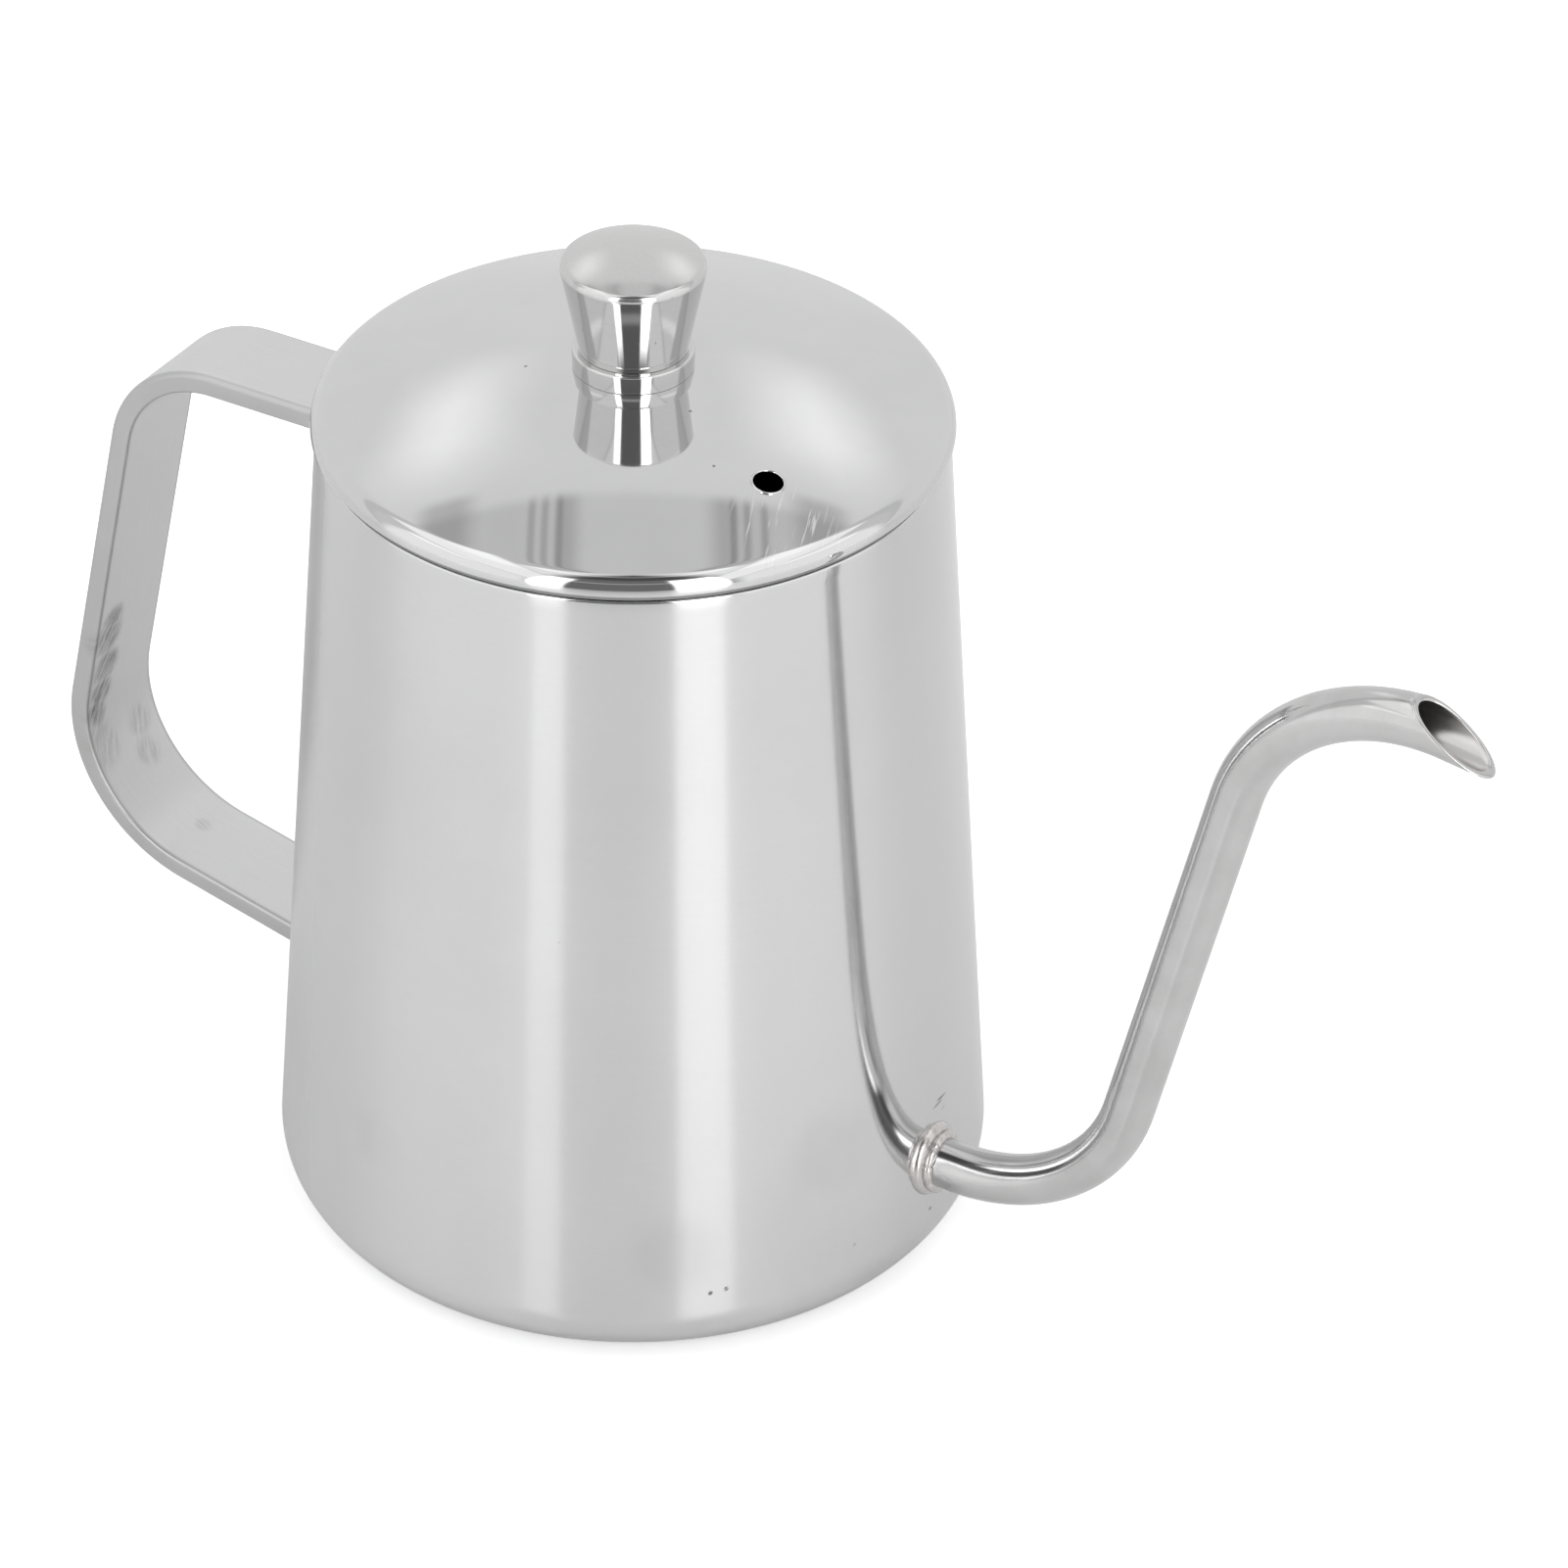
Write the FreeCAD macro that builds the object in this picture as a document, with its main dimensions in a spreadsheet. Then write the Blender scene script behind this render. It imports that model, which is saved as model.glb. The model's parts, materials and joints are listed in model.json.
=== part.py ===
import FreeCAD, Part
import math
import os
import Sketcher

# Stove-top gooseneck pour-over kettle in stainless steel, in millimetres.
# +Z is up, the origin is the middle of the base on the table, the spout points
# along +X and the handle along -X.

SIZES = {
    # pot: a cone that narrows upwards from a rounded base corner
    "base_radius": 48.0,
    "corner_radius": 8.0,
    "wall_lean": 3.79,            # degrees that the wall leans inwards
    "rim_height": 116.2,
    "wall": 0.8,
    # spout: a bent tube, horizontal at its root
    "tube_radius": 3.42,
    "tube_wall": 0.6,
    "spout_height": 17.4,
    "spout_root_run": 3.5,        # straight tube between the pot and the first bend
    "spout_bend": 26.3,           # centreline radius of both bends
    "spout_rise": 76.6,           # degrees that the long run stands above level
    "spout_run": 55.9,
    "spout_dip": 6.5,             # degrees that the mouth points below level
    "lip_run": 6.6,
    "lip_cut": 34.0,              # degrees of the slanted cut below level
    "tube_inside": 1.0,           # tube left standing inside the pot
    "spout_hole_gap": 0.05,
    "spout_weld_height": 2.1,
    "spout_weld_reach": 2.3,
    # handle: flat bar bent twice and welded to the wall at both ends
    "strap_width": 15.0,
    "strap_thick": 3.0,
    "strap_round": 0.8,
    "handle_top_drop": 9.55,      # below the rim: outer corner between the upper run and the grip
    "handle_top_reach": 75.65,
    "handle_low_height": 26.8,    # outer corner between the grip and the lower run
    "handle_low_reach": 91.8,
    "handle_top_rise": 1.4,       # degrees that the upper run climbs to the pot
    "handle_low_fall": 11.25,     # degrees that the lower run drops to the pot
    "handle_bend_top": 17.4,      # outer bend radii
    "handle_bend_low": 22.0,
    "strap_weld_leg": 0.9,
    # lid: a shallow dome turned down at the edge, with a hem inside that sits over the rim
    "lid_overhang": 0.62,
    "dome_radius": 130.0,
    "edge_round": 2.6,            # outer radius where the dome turns down
    "lip_rise": 1.0,              # from the rim up to the lip's lower edge
    "lip_height": 0.25,
    "hem_inset": 0.6,
    "hem_width": 1.0,
    "hem_gap": 0.2,               # between the hem and the rim
    "lid_wall": 0.8,
    "vent_radius": 2.0,
    "vent_reach": 29.0,
    "vent_turn": -21.9,           # degrees round from the spout
    "skirt_gap": 0.35,
    "skirt_wall": 0.7,
    "skirt_depth": 8.0,           # reach of the skirt below the rim
    # knob: turned, held by one screw from below
    "collar_radius": 7.9,
    "collar_height": 2.6,
    "collar_chamfer": 0.35,
    "knob_foot_radius": 7.05,
    "knob_top_radius": 9.4,
    "knob_height": 11.7,
    "knob_chamfer": 0.5,
    "knob_rim_rise": 0.7,
    "knob_crown": 1.6,
    "screw_radius": 2.0,
    "screw_gap": 0.05,
    "screw_grip": 7.0,            # thread inside the knob
    "screw_tip_room": 1.0,
    "screw_head_radius": 3.8,
    "screw_head_height": 2.4,
    "screw_slot_width": 1.0,
    "screw_slot_depth": 1.2,
    "washer_radius": 5.0,
    "washer_thick": 0.8,
}

doc = FreeCAD.newDocument("gooseneck_kettle")
sheet = doc.addObject("Spreadsheet::Sheet", "Sizes")
for row, (alias, number) in enumerate(SIZES.items(), 1):
    sheet.set("A%d" % row, alias)
    sheet.set("B%d" % row, str(number))
    sheet.setAlias("B%d" % row, alias)
doc.recompute()


class Size:
    """A number together with the sheet expression that gives it."""

    def __init__(self, value, text):
        self.value = value
        self.text = text

    def __add__(self, other):
        return join(self, other, "+", lambda a, b: a + b)

    def __radd__(self, other):
        return join(other, self, "+", lambda a, b: a + b)

    def __sub__(self, other):
        return join(self, other, "-", lambda a, b: a - b)

    def __rsub__(self, other):
        return join(other, self, "-", lambda a, b: a - b)

    def __mul__(self, other):
        return join(self, other, "*", lambda a, b: a * b)

    def __rmul__(self, other):
        return join(other, self, "*", lambda a, b: a * b)

    def __truediv__(self, other):
        return join(self, other, "/", lambda a, b: a / b)

    def __neg__(self):
        return Size(-self.value, "(0 - %s)" % self.text)


def as_size(item):
    if isinstance(item, Size):
        return item
    return Size(float(item), "(%r)" % float(item))


def join(left, right, sign, work):
    left = as_size(left)
    right = as_size(right)
    return Size(work(left.value, right.value), "(%s %s %s)" % (left.text, sign, right.text))


def size(alias):
    return Size(float(sheet.get(alias)), "Sizes.%s" % alias)


def sine(degrees):
    return Size(math.sin(math.radians(degrees.value)), "sin(%s * 1 deg)" % degrees.text)


def cosine(degrees):
    return Size(math.cos(math.radians(degrees.value)), "cos(%s * 1 deg)" % degrees.text)


def root(item):
    return Size(math.sqrt(item.value), "sqrt(%s)" % item.text)


def bind(owner, path, item):
    owner.setExpression(path, item.text)


def new_body(label):
    body = doc.addObject("PartDesign::Body", label)
    body.Label = label
    return body


def plane_of(body, role):
    for feature in body.Origin.OriginFeatures:
        if feature.Role == role:
            return feature
    raise RuntimeError("no plane " + role)


def new_sketch(body, name, role="XZ_Plane"):
    sketch = body.newObject("Sketcher::SketchObject", name)
    sketch.AttachmentSupport = [(plane_of(body, role), "")]
    sketch.MapMode = "FlatFace"
    return sketch


def cross_sketch(body, name, x, z, climb):
    """A sketch across the handle or spout: it stands at (x, z) and faces along a run that climbs."""
    sketch = new_sketch(body, name, "YZ_Plane")
    turn = FreeCAD.Rotation(FreeCAD.Vector(1, 0, 0), -climb.value)
    sketch.AttachmentOffset = FreeCAD.Placement(FreeCAD.Vector(0, z.value, x.value), turn)
    bind(sketch, "AttachmentOffset.Base.y", z)
    bind(sketch, "AttachmentOffset.Base.z", x)
    if climb.value != 0:
        bind(sketch, "AttachmentOffset.Rotation.Angle", -climb)
    return sketch


def pin_point(sketch, line, end, x, y):
    """Hold one end of a line or arc at (x, y); a plain 0 means on the axis."""
    for kind, item, axis in (("DistanceX", x, -2), ("DistanceY", y, -1)):
        if not isinstance(item, Size):
            sketch.addConstraint(Sketcher.Constraint("PointOnObject", line, end, axis))
            continue
        index = sketch.addConstraint(Sketcher.Constraint(kind, -1, 1, line, end, item.value))
        bind(sketch, "Constraints[%d]" % index, item)


def arc_between(start, stop, radius, turn, long_way):
    """An arc of a circle; turn is 1 for anticlockwise and -1 for clockwise."""
    middle = (start + stop) * 0.5
    chord = stop - start
    side = turn if not long_way else -turn
    across = FreeCAD.Vector(-chord.y, chord.x, 0).normalize() * side
    centre = middle + across * math.sqrt(max(radius ** 2 - chord.Length ** 2 / 4, 0.0))
    first, last = (start, stop) if turn > 0 else (stop, start)
    begin = math.atan2(first.y - centre.y, first.x - centre.x)
    finish = math.atan2(last.y - centre.y, last.x - centre.x)
    while finish <= begin:
        finish += 2 * math.pi
    return Part.ArcOfCircle(Part.Circle(centre, FreeCAD.Vector(0, 0, 1), radius), begin, finish)


def number(item):
    return item.value if isinstance(item, Size) else float(item)


def draw(sketch, corners, closed=True):
    """Draw lines and arcs through corners. A corner is (x, y), or (x, y, radius, turn) or
    (x, y, radius, turn, "long") where an arc leads on to the next corner."""
    places = [FreeCAD.Vector(number(c[0]), number(c[1]), 0) for c in corners]
    count = len(corners) if closed else len(corners) - 1
    ends = []
    for k in range(count):
        here = places[k]
        there = places[(k + 1) % len(places)]
        if len(corners[k]) == 2:
            line = sketch.addGeometry(Part.LineSegment(here, there))
            ends.append((line, 1, 2))
        else:
            radius, turn = corners[k][2:4]
            arc = arc_between(here, there, radius.value, turn, len(corners[k]) == 5)
            line = sketch.addGeometry(arc)
            ends.append((line, 1, 2) if turn > 0 else (line, 2, 1))
            index = sketch.addConstraint(Sketcher.Constraint("Radius", line, radius.value))
            bind(sketch, "Constraints[%d]" % index, radius)
    for k in range(count):
        line, first, last = ends[k]
        pin_point(sketch, line, first, corners[k][0], corners[k][1])
        if k + 1 < count or closed:
            follow = ends[(k + 1) % count]
            sketch.addConstraint(Sketcher.Constraint("Coincident", line, last, follow[0], follow[1]))
        else:
            pin_point(sketch, line, last, corners[-1][0], corners[-1][1])
    return sketch


def circle(sketch, x, y, radius):
    place = FreeCAD.Vector(number(x), number(y), 0)
    line = sketch.addGeometry(Part.Circle(place, FreeCAD.Vector(0, 0, 1), radius.value))
    pin_point(sketch, line, 3, x, y)
    index = sketch.addConstraint(Sketcher.Constraint("Radius", line, radius.value))
    bind(sketch, "Constraints[%d]" % index, radius)
    return sketch


def turned(body, kind, name, sketch, axis="V_Axis"):
    feature = body.newObject("PartDesign::" + kind, name)
    feature.Profile = sketch
    feature.ReferenceAxis = (sketch, [axis])
    feature.Angle = 360
    return feature


def drilled(body, name, sketch, upwards):
    """Cut the sketch right through on one side of its plane."""
    feature = body.newObject("PartDesign::Pocket", name)
    feature.Profile = sketch
    feature.Type = "ThroughAll"
    feature.Reversed = upwards
    return feature


def swept(body, kind, name, sketch, path):
    feature = body.newObject("PartDesign::" + kind, name)
    feature.Profile = sketch
    feature.Spine = (path, ["Edge%d" % (k + 1) for k in range(path.GeometryCount)])
    return feature


# Shared geometry of the pot wall
wall = size("wall")
corner = size("corner_radius")
corner_x = size("base_radius") - corner
lean_sin = sine(size("wall_lean"))
lean_cos = cosine(size("wall_lean"))
rim_height = size("rim_height")


def wall_radius(z, depth=0.0):
    """Radius of the wall at height z, at a depth below its outer face."""
    return corner_x + (corner - depth - (z - corner) * lean_sin) / lean_cos


rim_middle = rim_height - wall / 2.0
rim_x = wall_radius(rim_middle, wall / 2.0)


def make_pot_wall():
    body = new_body("pot_wall")
    half = wall / 2.0
    inner = corner - wall
    outline = [
        (corner_x + corner * lean_cos, corner + corner * lean_sin),
        (rim_x + half * lean_cos, rim_middle + half * lean_sin, half, 1),
        (rim_x - half * lean_sin, rim_middle + half * lean_cos, half, 1),
        (rim_x - half * lean_cos, rim_middle - half * lean_sin),
        (corner_x + inner * lean_cos, corner + inner * lean_sin),
    ]
    profile = draw(new_sketch(body, "pot_wall_profile"), outline)
    turned(body, "Revolution", "pot_wall_cone", profile)
    hole = new_sketch(body, "spout_hole_circle", "YZ_Plane")
    circle(hole, 0, size("spout_height"), size("tube_radius") + size("spout_hole_gap"))
    drilled(body, "spout_hole", hole, True)
    return body


def make_pot_base():
    body = new_body("pot_base")
    inner = corner - wall
    outline = [
        (0, 0),
        (corner_x, 0, corner, 1),
        (corner_x + corner * lean_cos, corner + corner * lean_sin),
        (corner_x + inner * lean_cos, corner + inner * lean_sin, inner, -1),
        (corner_x, wall),
        (0, wall),
    ]
    profile = draw(new_sketch(body, "pot_base_profile"), outline)
    turned(body, "Revolution", "pot_base_pan", profile)
    return body


def trim_to_wall(body, low, high):
    """Cut away what lies inside the pot's outer face between two heights."""
    outline = [(0, low), (wall_radius(low), low), (wall_radius(high), high), (0, high)]
    profile = draw(new_sketch(body, body.Label + "_trim_profile"), outline)
    return turned(body, "Groove", body.Label + "_trim", profile)


# Shared geometry of the spout
tube_radius = size("tube_radius")
spout_height = size("spout_height")
spout_start = wall_radius(spout_height, wall) - size("tube_inside")
bend = size("spout_bend")
rise_sin = sine(size("spout_rise"))
rise_cos = cosine(size("spout_rise"))
dip_sin = sine(size("spout_dip"))
dip_cos = cosine(size("spout_dip"))
first_bend_x = wall_radius(spout_height) + size("spout_root_run")
run_x = first_bend_x + bend * rise_sin
run_z = spout_height + bend * (1.0 - rise_cos)
second_bend_x = run_x + size("spout_run") * rise_cos
second_bend_z = run_z + size("spout_run") * rise_sin
mouth_x = second_bend_x + bend * (rise_sin + dip_sin)
mouth_z = second_bend_z + bend * (dip_cos - rise_cos)


def make_spout_tube():
    body = new_body("spout_tube")
    lip_run = size("lip_run")
    end_run = lip_run + tube_radius
    path = draw(new_sketch(body, "spout_path"), [
        (spout_start, spout_height),
        (first_bend_x, spout_height, bend, 1),
        (run_x, run_z),
        (second_bend_x, second_bend_z, bend, -1),
        (mouth_x, mouth_z),
        (mouth_x + end_run * dip_cos, mouth_z - end_run * dip_sin),
    ], closed=False)
    outside = cross_sketch(body, "spout_outside", spout_start, spout_height, as_size(0))
    circle(outside, 0, 0, tube_radius)
    inside = cross_sketch(body, "spout_bore", spout_start, spout_height, as_size(0))
    circle(inside, 0, 0, tube_radius - size("tube_wall"))
    doc.recompute()
    swept(body, "AdditivePipe", "spout_bar", outside, path)
    swept(body, "SubtractivePipe", "spout_bored", inside, path)
    # the slanted mouth: everything above a line that rises back from the tip
    tip_x = mouth_x + lip_run * dip_cos - tube_radius * dip_sin
    tip_z = mouth_z - lip_run * dip_sin - tube_radius * dip_cos
    cut_sin = sine(size("lip_cut"))
    cut_cos = cosine(size("lip_cut"))
    back = 6.0 * tube_radius
    ahead = 2.0 * tube_radius
    slant = draw(new_sketch(body, "lip_cut_region"), [
        (tip_x + ahead * cut_cos, tip_z - ahead * cut_sin),
        (tip_x + back * cut_cos, tip_z + back * cut_cos),
        (tip_x - back * cut_cos, tip_z + back * cut_sin),
    ])
    lip = body.newObject("PartDesign::Pocket", "lip_cut")
    lip.Profile = slant
    lip.Type = "Length"
    lip.Midplane = True
    bind(lip, "Length", 4.0 * tube_radius)
    return body


def make_spout_weld():
    body = new_body("spout_weld")
    height = size("spout_weld_height")
    reach = size("spout_weld_reach")
    face_x = wall_radius(spout_height)
    inside_x = face_x - height
    top = spout_height + tube_radius + height
    sketch = draw(new_sketch(body, "spout_weld_profile"), [
        (inside_x, spout_height + tube_radius),
        (face_x + reach, spout_height + tube_radius, reach * 1.6, 1),
        (face_x + reach * 0.25, top),
        (inside_x, top),
    ])
    axis = sketch.addGeometry(Part.LineSegment(
        FreeCAD.Vector(inside_x.value, spout_height.value, 0),
        FreeCAD.Vector((face_x + reach).value, spout_height.value, 0)), True)
    pin_point(sketch, axis, 1, inside_x, spout_height)
    pin_point(sketch, axis, 2, face_x + reach, spout_height)
    doc.recompute()
    turned(body, "Revolution", "spout_weld_ring", sketch, "Axis0")
    room = tube_radius + height * 2.0
    trim_to_wall(body, spout_height - room, spout_height + room)
    return body


# Shared geometry of the handle; its outer corners are (-reach, height)
strap_thick = size("strap_thick")
strap_width = size("strap_width")
top_x = -size("handle_top_reach")
top_z = rim_height - size("handle_top_drop")
low_x = -size("handle_low_reach")
low_z = size("handle_low_height")
grip_length = root((top_x - low_x) * (top_x - low_x) + (top_z - low_z) * (top_z - low_z))
grip_sin = (top_x - low_x) / grip_length
grip_cos = (top_z - low_z) / grip_length
top_sin = sine(size("handle_top_rise"))
top_cos = cosine(size("handle_top_rise"))
low_sin = sine(size("handle_low_fall"))
low_cos = cosine(size("handle_low_fall"))
half_thick = strap_thick / 2.0


def half_turn_tangent(cos_turn, sin_turn):
    return (1.0 - cos_turn) / sin_turn


def top_run_point(along):
    """Middle of the strap on the upper run, so far from the outer corner."""
    return (top_x + along * top_cos + half_thick * top_sin,
            top_z + along * top_sin - half_thick * top_cos)


def low_run_point(along):
    return (low_x + along * low_cos + half_thick * low_sin,
            low_z - along * low_sin + half_thick * low_cos)


def grip_point(down):
    return (top_x - down * grip_sin + half_thick * grip_cos,
            top_z - down * grip_cos - half_thick * grip_sin)


def strap_section(sketch, radius, grow):
    """Rounded bar section, across by strap_width and through by strap_thick, grown all round."""
    w = strap_width / 2.0 + grow
    t = half_thick + grow
    if radius is None:
        return draw(sketch, [(w, -t), (w, t), (-w, t), (-w, -t)])
    return draw(sketch, [
        (w, -t + radius), (w, t - radius, radius, 1),
        (w - radius, t), (-w + radius, t, radius, 1),
        (-w, t - radius), (-w, -t + radius, radius, 1),
        (-w + radius, -t), (w - radius, -t, radius, 1),
    ])


def strap_starts():
    """Distances along the runs, from the outer corners, to points well inside the pot wall."""
    top_end = (-top_x - wall_radius(top_z) + strap_width / 2.0) / top_cos
    low_end = (-low_x - wall_radius(low_z) + strap_width / 2.0) / low_cos
    return top_end, low_end


def make_handle_strap():
    body = new_body("handle_strap")
    bend_top = size("handle_bend_top")
    bend_low = size("handle_bend_low")
    top_end, low_end = strap_starts()
    top_set = bend_top * half_turn_tangent(grip_sin * top_cos + grip_cos * top_sin,
                                           grip_cos * top_cos - grip_sin * top_sin)
    low_set = bend_low * half_turn_tangent(grip_cos * low_sin - grip_sin * low_cos,
                                           grip_cos * low_cos + grip_sin * low_sin)
    start = top_run_point(top_end)
    path = draw(new_sketch(body, "strap_path"), [
        start,
        top_run_point(top_set) + (bend_top - half_thick, 1),
        grip_point(top_set),
        grip_point(grip_length - low_set) + (bend_low - half_thick, 1),
        low_run_point(low_set),
        low_run_point(low_end),
    ], closed=False)
    section = cross_sketch(body, "strap_section", start[0], start[1], size("handle_top_rise"))
    strap_section(section, size("strap_round"), 0.0)
    doc.recompute()
    swept(body, "AdditivePipe", "strap_bar", section, path)
    trim_to_wall(body, 0, rim_height + strap_thick * 2.0)
    return body


def make_strap_weld(label, point, climb, along):
    """Fillet weld round one end of the strap: a tapered ring, trimmed to the wall."""
    body = new_body(label)
    leg = size("strap_weld_leg")
    depth = strap_thick + leg
    outer = point(along - leg)
    inner = point(along + strap_thick)
    slim = cross_sketch(body, label + "_front", outer[0], outer[1], climb)
    strap_section(slim, None, leg * 0.05)
    wide = cross_sketch(body, label + "_back", inner[0], inner[1], climb)
    strap_section(wide, None, leg * 2.2)
    doc.recompute()
    loft = body.newObject("PartDesign::AdditiveLoft", label + "_bead")
    loft.Profile = slim
    loft.Sections = [wide]
    loft.Ruled = True
    hole = cross_sketch(body, label + "_hole", inner[0], inner[1], climb)
    strap_section(hole, size("strap_round"), 0.0)
    doc.recompute()
    cut = body.newObject("PartDesign::Pocket", label + "_strap_room")
    cut.Profile = hole
    cut.Type = "Length"
    cut.Midplane = True
    bind(cut, "Length", depth * 4.0)
    middle = inner[1]
    trim_to_wall(body, middle - depth * 4.0, middle + depth * 4.0)
    return body


# Shared geometry of the lid; heights follow from the rim and the lip that hangs over it
lid_wall = size("lid_wall")
lid_edge = wall_radius(rim_height) + size("lid_overhang")
lip_low = rim_height + size("lip_rise")
dome = size("dome_radius")
edge_round = size("edge_round")
edge_x = lid_edge - edge_round
edge_z = lip_low + size("lip_height")
dome_sin = edge_x / (dome - edge_round)
dome_cos = root(1.0 - dome_sin * dome_sin)
dome_z = edge_z - (dome - edge_round) * dome_cos
hem_out = lid_edge - size("hem_inset")
hem_in = hem_out - size("hem_width")
hem_low = rim_height + size("hem_gap")
collar_radius = size("collar_radius")
seat_z = dome_z + root(dome * dome - collar_radius * collar_radius)
screw_hole = size("screw_radius") + size("screw_gap")


def make_lid_dome():
    body = new_body("lid_dome")
    inner_dome = dome - lid_wall
    inner_round = edge_round - lid_wall
    under_z = seat_z - lid_wall
    under_x = root(inner_dome * inner_dome - (under_z - dome_z) * (under_z - dome_z))
    hem_top = edge_z + root(inner_round * inner_round - (hem_in - edge_x) * (hem_in - edge_x))
    profile = draw(new_sketch(body, "lid_dome_profile"), [
        (0, under_z),
        (under_x, under_z, inner_dome, -1),
        (inner_dome * dome_sin, dome_z + inner_dome * dome_cos, inner_round, -1),
        (hem_in, hem_top),
        (hem_in, hem_low),
        (hem_out, hem_low),
        (hem_out, lip_low),
        (lid_edge, lip_low),
        (lid_edge, edge_z, edge_round, 1),
        (dome * dome_sin, dome_z + dome * dome_cos, dome, 1),
        (collar_radius, seat_z),
        (0, seat_z),
    ])
    turned(body, "Revolution", "lid_dome_shell", profile)
    vent = new_sketch(body, "vent_circle", "XY_Plane")
    reach = size("vent_reach")
    turn = size("vent_turn")
    circle(vent, reach * cosine(turn), reach * sine(turn), size("vent_radius"))
    drilled(body, "vent_hole", vent, True)
    centre = new_sketch(body, "screw_hole_circle", "XY_Plane")
    circle(centre, 0, 0, screw_hole)
    drilled(body, "screw_hole", centre, True)
    return body


def ring(label, outer, hole, low, high, chamfer=None):
    """A plain turned ring; the upper outer edge may be chamfered."""
    body = new_body(label)
    if chamfer is None:
        outline = [(hole, low), (outer, low), (outer, high), (hole, high)]
    else:
        outline = [(hole, low), (outer, low), (outer, high - chamfer), (outer - chamfer, high), (hole, high)]
    profile = draw(new_sketch(body, label + "_profile"), outline)
    turned(body, "Revolution", label + "_ring", profile)
    return body


def make_lid_skirt():
    outer = hem_in - size("skirt_gap")
    low = rim_height - size("skirt_depth")
    return ring("lid_skirt", outer, outer - size("skirt_wall"), low, edge_z)


collar_top = seat_z + size("collar_height")
knob_rim = collar_top + size("knob_height")
washer_top = seat_z - lid_wall
washer_low = washer_top - size("washer_thick")
screw_top = collar_top + size("screw_grip")


def make_knob():
    body = new_body("knob")
    top_radius = size("knob_top_radius")
    edge_x = top_radius - size("knob_chamfer")
    edge_z = knob_rim + size("knob_rim_rise")
    crown = size("knob_crown")
    crown_radius = (edge_x * edge_x + crown * crown) / (2.0 * crown)
    bottom = screw_top + size("screw_tip_room")
    profile = draw(new_sketch(body, "knob_profile"), [
        (0, bottom),
        (screw_hole, bottom),
        (screw_hole, collar_top),
        (size("knob_foot_radius"), collar_top),
        (top_radius, knob_rim),
        (edge_x, edge_z, crown_radius, 1),
        (0, edge_z + crown),
    ])
    turned(body, "Revolution", "knob_turning", profile)
    return body


def make_knob_screw():
    body = new_body("knob_screw")
    shaft = size("screw_radius")
    head = size("screw_head_radius")
    head_low = washer_low - size("screw_head_height")
    profile = draw(new_sketch(body, "screw_profile"), [
        (0, head_low),
        (head - size("screw_slot_width") / 2.0, head_low),
        (head, washer_low - size("screw_head_height") / 2.0),
        (head, washer_low),
        (shaft, washer_low),
        (shaft, screw_top),
        (0, screw_top),
    ])
    turned(body, "Revolution", "screw_turning", profile)
    slot = new_sketch(body, "screw_slot_region")
    half = size("screw_slot_width") / 2.0
    depth = head_low + size("screw_slot_depth")
    below = head_low - size("screw_slot_depth")
    draw(slot, [(-half, below), (half, below), (half, depth), (-half, depth)])
    cut = body.newObject("PartDesign::Pocket", "screw_slot")
    cut.Profile = slot
    cut.Type = "Length"
    cut.Midplane = True
    bind(cut, "Length", head * 3.0)
    return body


def make_parts():
    top_end, low_end = strap_starts()
    reach_in = strap_width / 2.0
    upper_face = top_end - reach_in / top_cos
    low_wall_z = low_z - (low_end - reach_in / low_cos) * low_sin
    lower_face = (-low_x - wall_radius(low_wall_z)) / low_cos
    return [
        make_pot_wall(),
        make_pot_base(),
        make_spout_tube(),
        make_spout_weld(),
        make_handle_strap(),
        make_strap_weld("handle_weld_upper", top_run_point, size("handle_top_rise"), upper_face),
        make_strap_weld("handle_weld_lower", low_run_point, -size("handle_low_fall"), lower_face),
        make_lid_dome(),
        make_lid_skirt(),
        make_knob(),
        ring("knob_collar", collar_radius, screw_hole, seat_z, collar_top, size("collar_chamfer")),
        ring("knob_washer", size("washer_radius"), screw_hole, washer_low, washer_top),
        make_knob_screw(),
    ]


parts = make_parts()
doc.recompute()

for thing in doc.Objects:
    if "Invalid" in thing.State or "Error" in thing.State:
        raise RuntimeError("%s did not build: %s" % (thing.Name, thing.State))
for part in parts:
    if part.Shape.isNull() or not part.Shape.isValid() or len(part.Shape.Solids) != 1:
        raise RuntimeError("%s has no single valid solid" % part.Label)

os.makedirs("parts", exist_ok=True)
for part in parts:
    part.Shape.exportStep("parts/%s.step" % part.Label)
    box = part.Shape.BoundBox
    print("%-18s %9.1f mm3  z %.2f to %.2f" % (part.Label, part.Shape.Volume, box.ZMin, box.ZMax))
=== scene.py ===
import bpy
import bmesh
import json
import math
from mathutils import Matrix, Vector

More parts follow.
